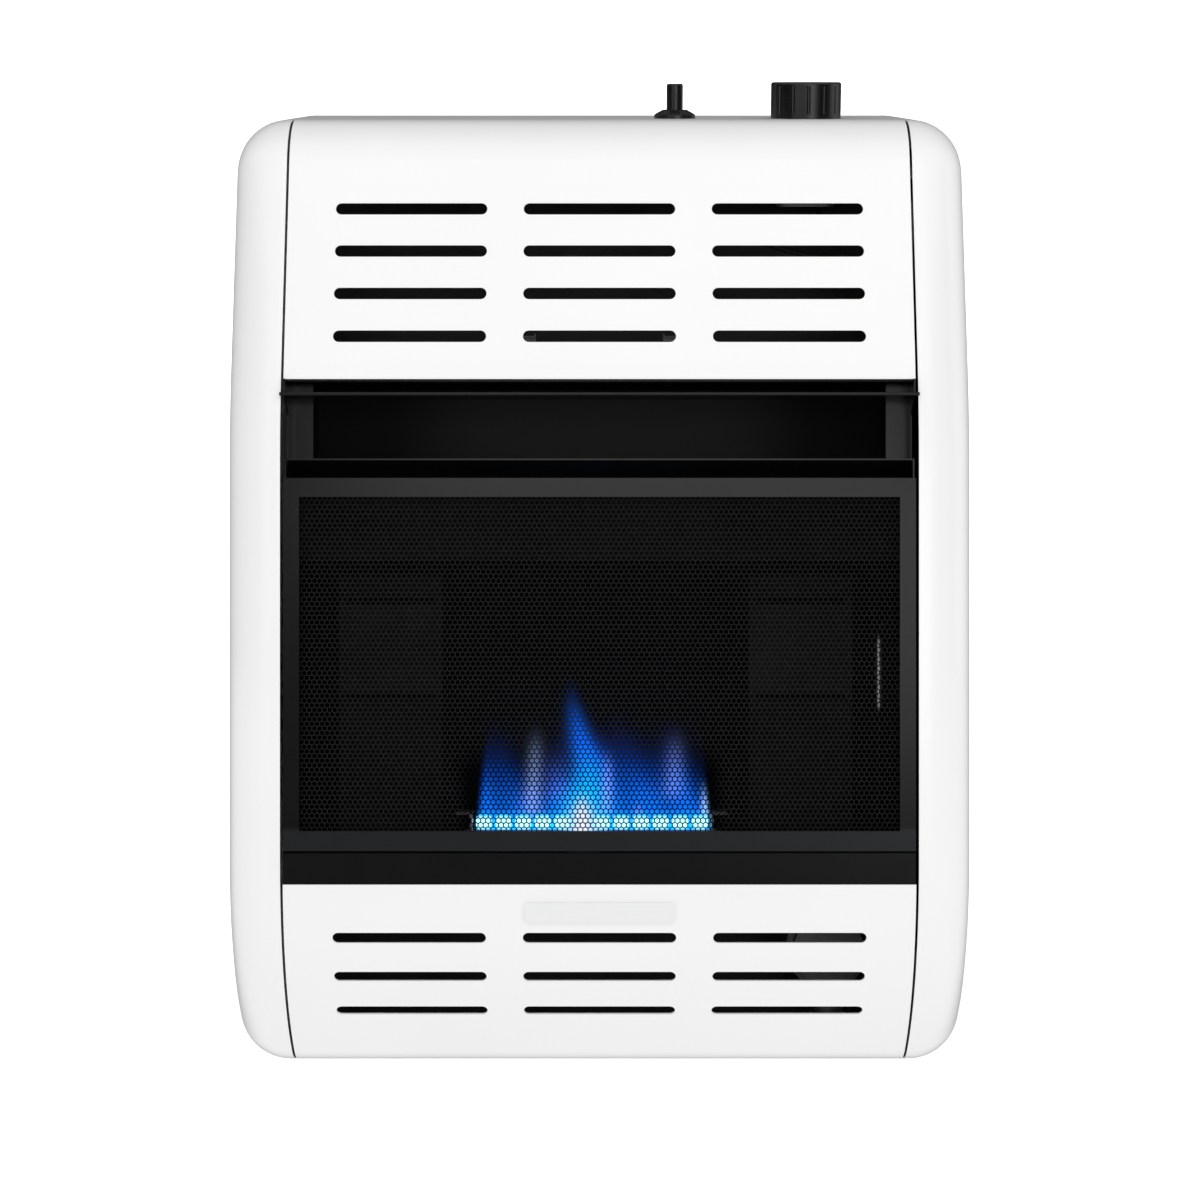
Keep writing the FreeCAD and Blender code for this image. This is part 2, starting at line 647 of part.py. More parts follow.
def base_pan():
    """Floor of the cabinet with folded front and rear edges and a hole over the gas inlet."""
    half = HALF_WIDTH - EDGE_R
    rear = -REAR_INSET
    floor = up(SHEET)
    plate = block((-half, half), (BASE_FRONT, rear - SHEET), (floor, floor + SHEET))
    edges = [block((-PANEL_HALF, PANEL_HALF), (y, y + SHEET), (floor, floor + FLANGE))
             for y in (BASE_FRONT, rear - SHEET)]
    hole = rod(at(REGULATOR_X, regulator_y(), up(0)), Z_AXIS, INLET_OUTER_R + INLET_CLEAR, FLANGE)
    return joined([plate] + edges).cut(hole)


def back_panel():
    """Flat back with a pressed pocket for the wall bracket and slots for its hooks."""
    half = HALF_WIDTH - SHEET - SEAT_GAP
    deck_rear = DECK_FRONT_HEIGHT + (DEPTH - DECK_FRONT_DEPTH - REAR_INSET) * math.tan(SLOPE_RAD)
    low = up(SHEET + SEAT_GAP)
    high = up(deck_rear) - (SHEET + SEAT_GAP) / math.cos(SLOPE_RAD)
    rear = -REAR_INSET
    plate = block((-half, half), (rear, rear + SHEET), (low, high))
    corners = [e for e in plate.Edges if abs(e.tangentAt(e.FirstParameter).y) > 0.9]
    plate = plate.makeFillet(EDGE_R, corners)
    floor = rear - POCKET_DEPTH
    tall = POCKET_TALL
    outside = block((-POCKET_HALF, POCKET_HALF), (floor, rear + SHEET), (-tall, tall))
    inside = block((-POCKET_HALF + SHEET, POCKET_HALF - SHEET), (floor + SHEET, SPARE),
                   (-tall + SHEET, tall - SHEET))
    panel = joined([plate, outside]).cut(inside)
    cuts = [screw_hole(p, Y_AXIS) for p in panel_screw_places()]
    for side in (-1, 1):
        half_slot = HOOK_WIDTH / 2 + SPARE
        cuts.append(block((side * HOOK_X - half_slot, side * HOOK_X + half_slot),
                          (floor - SPARE, floor + SHEET + SPARE),
                          (HOOK_HEIGHT - HOOK_SLOT_HEIGHT, HOOK_HEIGHT)))
    return panel.cut(cuts)


def wall_bracket():
    """Plate screwed to the wall, with two hooks that carry the back panel."""
    tall = BRACKET_HEIGHT / 2
    plate = block((-BRACKET_HALF, BRACKET_HALF), (-BRACKET_SHEET, 0), (-tall, tall))
    lip_back = -REAR_INSET - POCKET_DEPTH - SEAT_GAP
    pieces = [plate]
    for side in (-1, 1):
        wide = (side * HOOK_X - HOOK_WIDTH / 2, side * HOOK_X + HOOK_WIDTH / 2)
        arm = HOOK_HEIGHT - BRACKET_SHEET
        pieces.append(block(wide, (lip_back - BRACKET_SHEET, 0), (arm, HOOK_HEIGHT)))
        pieces.append(block(wide, (lip_back - BRACKET_SHEET, lip_back), (arm, HOOK_HEIGHT + HOOK_LIP)))
    x = WALL_SCREW_SPACING / 2
    holes = [rod(at(side * x, -FLANGE, 0), Y_AXIS, WALL_SCREW_R, 2 * FLANGE) for side in (-1, 1)]
    return joined(pieces).cut(holes)


def guard_frame():
    """Frame with folded outer returns and an inner lip that the net sits against."""
    inner = GUARD_OPEN_HALF
    low, high = up(GUARD_BOTTOM), up(GUARD_TOP)
    open_low, open_high = low + GUARD_BOTTOM_BAR, high - GUARD_TOP_BAR
    outside = block((-GUARD_HALF, GUARD_HALF), (back(0), back(GUARD_RETURN)), (low, high))
    s = GUARD_SHEET
    hollow = block((-GUARD_HALF + s, GUARD_HALF - s), (back(s), back(GUARD_RETURN + SPARE)),
                   (low + s, high - s))
    lip = block((-inner - s, inner + s), (back(0), back(GUARD_LIP)), (open_low - s, open_high + s))
    opening = block((-inner, inner), (back(-SPARE), back(GUARD_RETURN + SPARE)), (open_low, open_high))
    frame = joined([outside.cut(hollow), lip])
    return frame.cut(opening)


def guard_net():
    """Flat net with staggered six-sided gaps, held behind the frame's lip."""
    half = GUARD_OPEN_HALF + NET_TUCK
    low = up(GUARD_BOTTOM) + GUARD_BOTTOM_BAR - NET_TUCK
    high = up(GUARD_TOP) - GUARD_TOP_BAR + NET_TUCK
    front = back(GUARD_LIP)
    outer = Part.makePolygon([at(x, front, z) for x, z in
                              ((-half, low), (half, low), (half, high), (-half, high), (-half, low))])
    pitch_x = 2 * (half - NET_TUCK) / (NET_COLUMNS + 0.5)
    pitch_z = (high - low - 2 * NET_TUCK) / NET_ROWS
    radius = NET_OPEN * min(pitch_x / math.sqrt(3), pitch_z / 1.5)
    wires = [outer]
    for row in range(NET_ROWS):
        shift = 0.5 if row % 2 == 0 else 1.0
        for column in range(NET_COLUMNS):
            x = -half + NET_TUCK + (column + shift) * pitch_x
            z = low + NET_TUCK + (row + 0.5) * pitch_z
            turns = [math.radians(90 + 60 * k) for k in range(7)]
            wires.append(Part.makePolygon([at(x + radius * math.cos(t), front, z + radius * math.sin(t))
                                           for t in turns]))
    return Part.Face(wires, "Part::FaceMakerBullseye").extrude(Y_AXIS * NET_SHEET)


def lower_rail():
    """Plain channel between the guard and the lower panel."""
    low = up(RAIL_BOTTOM)
    high = up(RAIL_TOP)
    rear = back(GUARD_RETURN)
    wide = (-GUARD_HALF, GUARD_HALF)
    face = block(wide, (back(RAIL_FRONT), back(RAIL_FRONT + SHEET)), (low, high))
    top = block(wide, (back(RAIL_FRONT), rear), (high - SHEET, high))
    bottom = block(wide, (back(RAIL_FRONT), rear), (low, low + SHEET))
    return joined([face, top, bottom])


def louver(height, depth, drop):
    """Blade between the outlet brackets that drops towards the rear."""
    front, top = back(depth), up(height)
    rear, low = front + LOUVER_RUN, top - drop
    s = LOUVER_SHEET
    return side_prism(((front, top), (rear, low), (rear, low - s), (front, top - s)), LOUVER_HALF)


def upper_louver():
    """Nearly level blade with a rolled hem that runs past its ends."""
    blade = louver(UPPER_LOUVER_HEIGHT, UPPER_LOUVER_DEPTH, UPPER_LOUVER_DROP)
    front = back(UPPER_LOUVER_DEPTH)
    middle = up(UPPER_LOUVER_HEIGHT) - LOUVER_SHEET / 2
    half = PANEL_HALF + HEM_OVERHANG
    hem = block((-half, half), (front - HEM_DEPTH / 2, front + HEM_DEPTH / 2),
                (middle - HEM_HEIGHT / 2, middle + HEM_HEIGHT / 2))
    long_edges = [e for e in hem.Edges if abs(e.tangentAt(e.FirstParameter).x) > 0.9]
    hem = hem.makeFillet(HEM_ROUND * min(HEM_HEIGHT, HEM_DEPTH), long_edges)
    return joined([hem, blade])


def louver_bracket():
    """Right-hand side plate of the outlet, cut back between the blades, with a front-facing flange."""
    low, high = GUARD_TOP + SEAT_GAP, UPPER_PANEL_BOTTOM
    waist = LOWER_LOUVER_DEPTH + LOUVER_RUN / 2
    points = (
        (LOWER_LOUVER_DEPTH, low),
        (LOWER_LOUVER_DEPTH, LOWER_LOUVER_HEIGHT),
        (waist, LOWER_LOUVER_HEIGHT),
        (waist, UPPER_LOUVER_HEIGHT - BRACKET_HORN),
        (BRACKET_FRONT, UPPER_LOUVER_HEIGHT - LOUVER_SHEET),
        (BRACKET_FRONT, high),
        (BRACKET_DEPTH, high),
        (BRACKET_DEPTH, low),
    )
    corners = [at(GUARD_HALF - FIRE_SHEET, back(d), up(h)) for d, h in points]
    side = Part.Face(Part.makePolygon(corners + corners[:1])).extrude(X_AXIS * FIRE_SHEET)
    rear = back(BRACKET_DEPTH)
    flange = block((GUARD_HALF - BRACKET_FLANGE, GUARD_HALF), (rear - FIRE_SHEET, rear), (up(low), up(high)))
    return joined([side, flange])


def hood_height(depth):
    """Height of the hood's underside at a depth."""
    front = 2 * FLANGE
    rise = HOOD_REAR_RISE * (depth - front) / (FIRE_BACK - front)
    return UPPER_PANEL_BOTTOM - FIRE_SHEET + max(rise, 0)


def firebox_wall():
    """Right wall of the firebox, notched at the top front for the outlet bracket."""
    notch = BRACKET_DEPTH + SEAT_GAP
    sill = LOWER_LOUVER_HEIGHT - LOWER_LOUVER_DROP - LOUVER_SHEET - SEAT_GAP
    points = (
        (SHELF_FRONT, SHELF_TOP),
        (SHELF_FRONT, sill),
        (notch, sill),
        (notch, hood_height(notch) - SEAT_GAP),
        (FIRE_BACK, hood_height(FIRE_BACK) - SEAT_GAP),
        (FIRE_BACK, SHELF_TOP),
    )
    corners = [at(FIRE_INNER, back(d), up(h)) for d, h in points]
    return Part.Face(Part.makePolygon(corners + corners[:1])).extrude(X_AXIS * FIRE_SHEET)


def wall_holes():
    """Cutters for the main tube, the pilot tube and the leads through the right wall."""
    holes = [rod(at(0, BURNER_Y, up(BURNER_AXIS)), X_AXIS, GAS_TUBE_R + TUBE_HOLE_CLEAR, HALF_WIDTH)]
    for depth, height, radius in zip(LEAD_DEPTHS, LEAD_ENTRIES, LEAD_RADII):
        holes.append(rod(at(0, back(depth), up(height)), X_AXIS, radius + LEAD_HOLE_CLEAR, HALF_WIDTH))
    return holes


def firebox_back():
    """Back plate of the firebox."""
    return block((-FIRE_HALF, FIRE_HALF), (back(FIRE_BACK), back(FIRE_BACK) + FIRE_SHEET),
                 (up(SHELF_HEIGHT), up(hood_height(FIRE_BACK) - SEAT_GAP)))


def firebox_hood():
    """Sloped roof that turns the warm air forward to the outlet."""
    front, flat = back(RAIL_FRONT + FLANGE), back(2 * FLANGE)
    rear = back(FIRE_BACK) + FIRE_SHEET
    low, high = up(hood_height(0)), up(hood_height(FIRE_BACK))
    s = FIRE_SHEET
    under = ((front, low), (flat, low), (rear, high))
    over = tuple((y, z + s) for y, z in reversed(under))
    return side_prism(under + over, FIRE_HALF)


def firebox_shelf():
    """Floor of the firebox with air slots under the burner."""
    plate = block((-FIRE_HALF, FIRE_HALF), (back(SHELF_FRONT), back(FIRE_BACK)),
                  (up(SHELF_HEIGHT), up(SHELF_TOP)))
    cutter = stadium(AIR_SLOT_LENGTH, AIR_SLOT_WIDTH, FLANGE)
    cutter.rotate(MIDDLE, X_AXIS, 90)
    cuts = [screw_hole(p, Z_AXIS) for p in burner_screw_places()]
    for k in range(AIR_SLOTS):
        slot = cutter.copy()
        x = BURNER_MIDDLE + (k - (AIR_SLOTS - 1) / 2) * AIR_SLOT_PITCH
        slot.translate(at(x, BURNER_Y, up(SHELF_HEIGHT)))
        cuts.append(slot)
    return plate.cut(cuts)


def firebox_lintel():
    """Front strip above the flames, from wall to wall."""
    return block((-FIRE_INNER, FIRE_INNER), (back(LINTEL_DEPTH), back(LINTEL_DEPTH) + FIRE_SHEET),
                 (up(LINTEL_BOTTOM), up(GUARD_TOP)))


def baffle(x_range):
    """Standing plate beside the burner with two cross slots and a foot on the shelf."""
    front = back(BAFFLE_DEPTH)
    plate = block(x_range, (front, front + FIRE_SHEET), (up(SHELF_TOP), up(BAFFLE_TOP)))
    foot = block(x_range, (front - FLANGE, front + FIRE_SHEET), (up(SHELF_TOP), up(SHELF_TOP) + FIRE_SHEET))
    wide = (x_range[0] + BAFFLE_SLOT_MARGIN, x_range[1] - BAFFLE_SLOT_MARGIN)
    half = BAFFLE_SLOT_HEIGHT / 2
    cuts = [block(wide, (front - SPARE, front + FIRE_SHEET + SPARE), (up(h - half), up(h + half)))
            for h in (BAFFLE_TOP - drop for drop in BAFFLE_SLOT_DROPS)]
    return joined([plate, foot]).cut(cuts)


def port_places():
    return [BURNER_MIDDLE + (k - (PORT_CLUSTERS - 1) / 2) * PORT_PITCH for k in range(PORT_CLUSTERS)]


def burner_tube():
    """Closed tube with a flat along its top where the port strip sits."""
    axis = at(BURNER_LEFT, BURNER_Y, up(BURNER_AXIS))
    outer = rod(axis, X_AXIS, BURNER_R, BURNER_LENGTH)
    inner = rod(axis + X_AXIS * BURNER_WALL, X_AXIS, BURNER_R - BURNER_WALL, BURNER_LENGTH - 2 * BURNER_WALL)
    half = PORT_STRIP_WIDTH / 2
    flat = up(BURNER_FLAT)
    top = block((BURNER_LEFT - SPARE, BURNER_RIGHT + SPARE), (BURNER_Y - half, BURNER_Y + half),
                (flat, flat + BURNER_R))
    inlet = rod(at(BURNER_RIGHT - FLANGE, BURNER_Y, up(BURNER_AXIS)), X_AXIS, MIXER_R + RUNNING, 2 * FLANGE)
    return outer.cut([inner, top, inlet])


def burner_port_strip():
    """Strip of slotted ports along the top of the burner."""
    half = PORT_STRIP_WIDTH / 2
    flat = up(BURNER_FLAT)
    strip = block((BURNER_LEFT, BURNER_RIGHT), (BURNER_Y - half, BURNER_Y + half),
                  (flat, flat + PORT_STRIP_LIFT))
    cuts = []
    for x in port_places():
        for side in (-1, 1):
            y = BURNER_Y + side * half / 2
            cuts.append(block((x - PORT_LENGTH / 2, x + PORT_LENGTH / 2),
                              (y - PORT_WIDTH / 2, y + PORT_WIDTH / 2),
                              (flat - SPARE, flat + PORT_STRIP_LIFT + SPARE)))
    return strip.cut(cuts)


def mixing_tube():
    """Flared tube that leads air and gas into the burner."""
    start = at(BURNER_RIGHT - BURNER_WALL, BURNER_Y, up(BURNER_AXIS))
    straight = MIXER_LENGTH - MIXER_MOUTH
    body = rod(start, X_AXIS, MIXER_R, straight)
    mouth = Part.makeCone(MIXER_R, MIXER_MOUTH_R, MIXER_MOUTH, start + X_AXIS * straight, X_AXIS)
    bore = rod(start - X_AXIS * SPARE, X_AXIS, MIXER_R - BURNER_WALL, straight + SPARE)
    flare = Part.makeCone(MIXER_R - BURNER_WALL, MIXER_MOUTH_R - BURNER_WALL, MIXER_MOUTH,
                          start + X_AXIS * straight, X_AXIS)
    return joined([body, mouth]).cut(joined([bore, flare]))


def orifice_fitting():
    """Gas jet that points into the mixing tube."""
    start = at(ORIFICE_START, BURNER_Y, up(BURNER_AXIS))
    nose = Part.makeCone(ORIFICE_R / 3, ORIFICE_R, ORIFICE_LENGTH / 3, start, X_AXIS)
    body = rod(start + X_AXIS * (ORIFICE_LENGTH / 3), X_AXIS, ORIFICE_R, ORIFICE_LENGTH * 2 / 3)
    return joined([nose, body])


def orifice_bracket():
    """Plate on the shelf that carries the jet."""
    x = ORIFICE_PLATE
    half = BURNER_BRACKET_SHEET / 2
    wide = (BURNER_Y - BURNER_BRACKET_WIDTH / 2, BURNER_Y + BURNER_BRACKET_WIDTH / 2)
    plate = block((x - half, x + half), wide, (up(SHELF_TOP), up(BURNER_AXIS + 2 * ORIFICE_R)))
    foot = block((x - half, x + BURNER_FOOT), wide, (up(SHELF_TOP), up(SHELF_TOP) + BURNER_BRACKET_SHEET))
    hole = rod(at(x - FLANGE, BURNER_Y, up(BURNER_AXIS)), X_AXIS, ORIFICE_R + RUNNING, 2 * FLANGE)
    screws = [screw_hole(p, Z_AXIS) for p in foot_screws(x, 1)]
    return joined([plate, foot]).cut([hole] + screws)


def foot_screws(x, side):
    """Two screws through the foot of the bracket at x, on the side that the foot points to."""
    z = up(SHELF_TOP) + BURNER_BRACKET_SHEET
    reach = BURNER_BRACKET_WIDTH / 2 - SCREW_HEAD_R
    foot = x + side * (BURNER_BRACKET_SHEET + BURNER_FOOT) / 2
    return [at(foot, BURNER_Y + end * reach, z) for end in (-1, 1)]


def burner_screw_places():
    places = foot_screws(ORIFICE_PLATE, 1)
    for x, side in BRACKET_PLACES:
        places += foot_screws(x, side)
    return places


def burner_bracket(x, side):
    """Plate that holds one end of the burner, with a foot and a small top tab."""
    half = BURNER_BRACKET_SHEET / 2
    wide = (BURNER_Y - BURNER_BRACKET_WIDTH / 2, BURNER_Y + BURNER_BRACKET_WIDTH / 2)
    top = BURNER_AXIS + BURNER_R + BURNER_BRACKET_RISE
    out = sorted((x - side * half, x + side * BURNER_FOOT))
    tab = sorted((x - side * half, x + side * BURNER_BRACKET_TAB))
    plate = block((x - half, x + half), wide, (up(SHELF_TOP), up(top)))
    foot = block(out, wide, (up(SHELF_TOP), up(SHELF_TOP) + BURNER_BRACKET_SHEET))
    lip = block(tab, (BURNER_Y - PORT_STRIP_WIDTH, BURNER_Y + PORT_STRIP_WIDTH),
                (up(top) - BURNER_BRACKET_SHEET, up(top)))
    hole = rod(at(x - FLANGE, BURNER_Y, up(BURNER_AXIS)), X_AXIS, BURNER_R + RUNNING, 2 * FLANGE)
    notch = block((x - FLANGE, x + FLANGE), (BURNER_Y - BURNER_R, BURNER_Y + BURNER_R),
                  (up(BURNER_AXIS), up(BURNER_AXIS + BURNER_R + PORT_STRIP_LIFT)))
    screws = [screw_hole(p, Z_AXIS) for p in foot_screws(x, side)]
    return joined([plate, foot, lip]).cut([hole, notch] + screws)


def pilot_floor():
    return up(SHELF_TOP) + PILOT_PLATE_LIFT + PILOT_PLATE


def pilot_bracket():
    """Raised plate that carries the pilot, the electrode and the thermocouple."""
    x = (THERMOCOUPLE_X - PILOT_PLATE_MARGIN, ELECTRODE_X + PILOT_PLATE_MARGIN)
    y = (back(PILOT_DEPTH) - PILOT_R, back(ELECTRODE_DEPTH) + CERAMIC_R)
    top = pilot_floor()
    plate = block(x, y, (top - PILOT_PLATE, top))
    feet = [block((a, a + PILOT_PLATE), y, (up(SHELF_TOP), top)) for a in (x[0], x[1] - PILOT_PLATE)]
    return joined([plate] + feet)


def pilot_hood():
    """Pilot burner: a capped barrel with a window towards the burner."""
    low = pilot_floor()
    y = back(PILOT_DEPTH)
    barrel = rod(at(PILOT_X, y, low), Z_AXIS, PILOT_R, PILOT_HEIGHT)
    bore = rod(at(PILOT_X, y, low + PILOT_HEIGHT / 2), Z_AXIS, PILOT_R - BURNER_WALL,
               PILOT_HEIGHT / 2 - BURNER_WALL)
    window = block((PILOT_X - PILOT_R / 2, PILOT_X + PILOT_R / 2), (y, y + 2 * PILOT_R),
                   (low + PILOT_HEIGHT / 2 + BURNER_WALL, low + PILOT_HEIGHT - 2 * BURNER_WALL))
    return barrel.cut([bore, window])


def spark_electrode():
    """Ceramic rod with a wire tip."""
    low = pilot_floor()
    place = at(ELECTRODE_X, back(ELECTRODE_DEPTH), low)
    ceramic = rod(place, Z_AXIS, CERAMIC_R, CERAMIC_HEIGHT)
    tip = rod(place + Z_AXIS * CERAMIC_HEIGHT, Z_AXIS, TIP_R, TIP_RISE)
    return joined([ceramic, tip])


def thermocouple():
    """Probe beside the pilot flame."""
    place = at(THERMOCOUPLE_X, back(THERMOCOUPLE_DEPTH), pilot_floor())
    probe = rod(place, Z_AXIS, THERMOCOUPLE_R, THERMOCOUPLE_HEIGHT)
    return probe.makeFillet(THERMOCOUPLE_R / 2, [probe.Edges[0]])


def lead(x, offset, column, end):
    """Lead from a fitting, down outside the firebox, through its wall, and along the shelf to its end."""
    start = deck_point(x, offset)
    lead_out = deck_point(x, (offset[0], offset[1], offset[2] - LEAD_EXIT))
    y = back(LEAD_DEPTHS[column])
    entry = up(LEAD_ENTRIES[column])
    path = [start, lead_out, at(LEAD_OUTSIDE_X, y, start.z - LEAD_DROPS[column])]
    path += [at(LEAD_OUTSIDE_X, y, entry), at(LEAD_INSIDE_X, y, entry)]
    if entry > end.z:
        path.append(at(LEAD_INSIDE_X, y, end.z))
    path += [at(LEAD_INSIDE_X - LEAD_SWEEP, end.y, end.z), end]
    return bent_tube(path, LEAD_RADII[column], LEAD_BEND)


def pilot_tube():
    """Thin gas tube from the valve to the pilot."""
    end = at(PILOT_X + PILOT_R, back(PILOT_DEPTH), up(LEAD_ROW))
    return lead(KNOB_X, (VALVE_SIDE / 4, -VALVE_SIDE / 4, -VALVE_DEPTH), 0, end)


def thermocouple_lead():
    """Copper lead from the valve to the thermocouple."""
    end = at(THERMOCOUPLE_X + THERMOCOUPLE_R, back(THERMOCOUPLE_DEPTH), up(LEAD_ROW))
    return lead(KNOB_X, (VALVE_SIDE / 4, VALVE_SIDE / 4, -VALVE_DEPTH), 1, end)


def ignition_lead():
    """Insulated lead from the igniter to the spark electrode."""
    end = at(ELECTRODE_X + CERAMIC_R, back(ELECTRODE_DEPTH), up(LEAD_ROW))
    return lead(IGNITER_X, (0, 0, -IGNITER_DEPTH), 2, end)


def regulator_y():
    return inlet_port().y


def outlet_port():
    """Centre of the valve's outlet face, in line with the burner."""
    y = (BURNER_Y - CONTROL_Y - OUTLET_DROP * math.sin(SLOPE_RAD)) / math.cos(SLOPE_RAD)
    return deck_point(KNOB_X, (VALVE_SIDE / 2 + VALVE_PORT, y, -OUTLET_DROP))


def inlet_port():
    return deck_point(KNOB_X, (VALVE_SIDE / 2 + VALVE_PORT, INLET_SIDE, -INLET_DROP))


def pressure_regulator():
    """Round diaphragm housing with an outlet boss to the side and an inlet boss below."""
    y = regulator_y()
    centre = at(REGULATOR_X, y, up(REGULATOR_HEIGHT))
    half = REGULATOR_THICK / 2
    drum = rod(centre - Y_AXIS * half, Y_AXIS, REGULATOR_R - REGULATOR_RIM, REGULATOR_THICK)
    rim = rod(centre - Y_AXIS * (REGULATOR_RIM / 2), Y_AXIS, REGULATOR_R, REGULATOR_RIM)
    outlet = rod(centre, X_AXIS, REGULATOR_BOSS_R, REGULATOR_R + REGULATOR_RIM)
    inlet = rod(at(REGULATOR_X, y, up(INLET_TOP)), Z_AXIS, REGULATOR_BOSS_R, REGULATOR_HEIGHT - INLET_TOP)
    return joined([drum, rim, outlet, inlet])


def gas_inlet_fitting():
    """Hexagon fitting with a female pipe thread facing down."""
    place = at(REGULATOR_X, regulator_y(), up(INLET_MOUTH))
    turns = [math.radians(60 * k) for k in range(7)]
    ring = [place + at(INLET_OUTER_R * math.cos(t), INLET_OUTER_R * math.sin(t), 0) for t in turns]
    body = Part.Face(Part.makePolygon(ring)).extrude(Z_AXIS * (INLET_LENGTH + INLET_FLOOR))
    return body.cut(rod(place, Z_AXIS, INLET_R, INLET_LENGTH))


def regulator_bracket():
    """Folded strap that ties the regulator to the base pan."""
    y = regulator_y()
    rear = y + REGULATOR_THICK / 2
    half = REGULATOR_BOSS_R
    floor = up(2 * SHEET)
    wide = (REGULATOR_X - half, REGULATOR_X + half)
    post = block(wide, (rear, rear + BURNER_BRACKET_SHEET), (floor, up(REGULATOR_HEIGHT + half)))
    foot = block(wide, (rear, rear + BURNER_FOOT), (floor, floor + BURNER_BRACKET_SHEET))
    return joined([post, foot])


def inlet_tube():
    """Tube from the regulator up the right side to the valve."""
    port = inlet_port()
    low = at(REGULATOR_X + REGULATOR_R + REGULATOR_RIM, port.y, up(REGULATOR_HEIGHT))
    points = [port, at(TUBE_COLUMN_X, port.y, port.z), at(TUBE_COLUMN_X, port.y, low.z), low]
    return bent_tube(points, GAS_TUBE_R, TUBE_BEND)


def main_tube():
    """Tube from the valve down the right side to the burner jet."""
    port = outlet_port()
    low = at(ORIFICE_START + ORIFICE_LENGTH, BURNER_Y, up(BURNER_AXIS))
    points = [port, at(TUBE_COLUMN_X, port.y, port.z), at(TUBE_COLUMN_X, port.y, low.z), low]
    return bent_tube(points, GAS_TUBE_R, TUBE_BEND)


def tube_nuts():
    """Flare nuts round the tube ends at the valve and the regulator."""
    low = at(REGULATOR_X + REGULATOR_R + REGULATOR_RIM, regulator_y(), up(REGULATOR_HEIGHT))
    nuts = []
    for place in (inlet_port(), outlet_port(), low):
        turns = [math.radians(60 * k) for k in range(7)]
        ring = [place + at(0, NUT_R * math.cos(t), NUT_R * math.sin(t)) for t in turns]
        nut = Part.Face(Part.makePolygon(ring)).extrude(X_AXIS * NUT_LENGTH)
        nuts.append(nut.cut(rod(place - X_AXIS, X_AXIS, GAS_TUBE_R + RUNNING, 2 * NUT_LENGTH)))
    return group(nuts)


def valve_screw_offsets():
    return [at(side * VALVE_SCREW_X, 0, VALVE_PLATE) for side in (-1, 1)]


def valve_screw_holes():
    return [screw_hole(p, Z_AXIS) for p in valve_screw_offsets()]


def valve_bracket():
    """Hanger welded under the deck: a plate for the valve between two legs with outward flanges."""
    x, y = VALVE_BRACKET_X / 2, VALVE_BRACKET_Y / 2
    wide = (-y, y)
    pieces = [block((-x, x), wide, (VALVE_TOP, VALVE_PLATE))]
    for side in (-1, 1):
        inside = side * (x - VALVE_BRACKET)
        pieces.append(block(sorted((inside, side * x)), wide, (VALVE_TOP, -SHEET)))
        pieces.append(block(sorted((inside, side * (x + FLANGE))), wide, (-SHEET - VALVE_BRACKET, -SHEET)))
    hole = rod(at(0, 0, VALVE_TOP - SPARE), Z_AXIS, BONNET_R + SEAT_GAP, FLANGE)
    return on_deck(joined(pieces).cut([hole] + valve_screw_holes()), KNOB_X)


def gas_valve_body():
    """Valve block with side ports and a bore for the plunger."""
    half = VALVE_SIDE / 2
    body = block((-half, half), (-half, half), (-VALVE_DEPTH, VALVE_TOP))
    edges = [e for e in body.Edges if abs(e.tangentAt(e.FirstParameter).z) > 0.9]
    body = body.makeFillet(VALVE_ROUND, edges)
    outlet_y = (BURNER_Y - CONTROL_Y - OUTLET_DROP * math.sin(SLOPE_RAD)) / math.cos(SLOPE_RAD)
    ports = [rod(at(0, y, -drop), X_AXIS, VALVE_PORT_R, half + VALVE_PORT)
             for y, drop in ((outlet_y, OUTLET_DROP), (INLET_SIDE, INLET_DROP))]
    bore = rod(at(0, 0, -VALVE_DEPTH + VALVE_FLOOR), Z_AXIS, PLUNGER_R + RUNNING, VALVE_DEPTH)
    return on_deck(joined([body] + ports).cut([bore] + valve_screw_holes()), KNOB_X)


def valve_bonnet():
    """Neck of the valve, through its bracket, that guides the stem."""
    neck = rod(at(0, 0, VALVE_TOP), Z_AXIS, BONNET_R, VALVE_BRACKET + BONNET_RISE)
    bore = rod(at(0, 0, VALVE_TOP - SPARE), Z_AXIS, STEM_R + RUNNING, FLANGE)
    return on_deck(neck.cut(bore), KNOB_X)


def valve_stem():
    top = KNOB_SHOW - 2 * KNOB_WALL
    return on_deck(rod(at(0, 0, STEM_LOW), Z_AXIS, STEM_R, top - STEM_LOW), KNOB_X)


def reset_plunger():
    """Pin under the stem that holds the pilot valve open while the knob is pushed."""
    return on_deck(rod(at(0, 0, PLUNGER_TOP - PLUNGER_LENGTH), Z_AXIS, PLUNGER_R, PLUNGER_LENGTH), KNOB_X)


def valve_spring():
    low = -VALVE_DEPTH + VALVE_FLOOR
    return on_deck(coil(PLUNGER_R - SPRING_WIRE, SPRING_WIRE, low, PLUNGER_TOP - PLUNGER_LENGTH), KNOB_X)


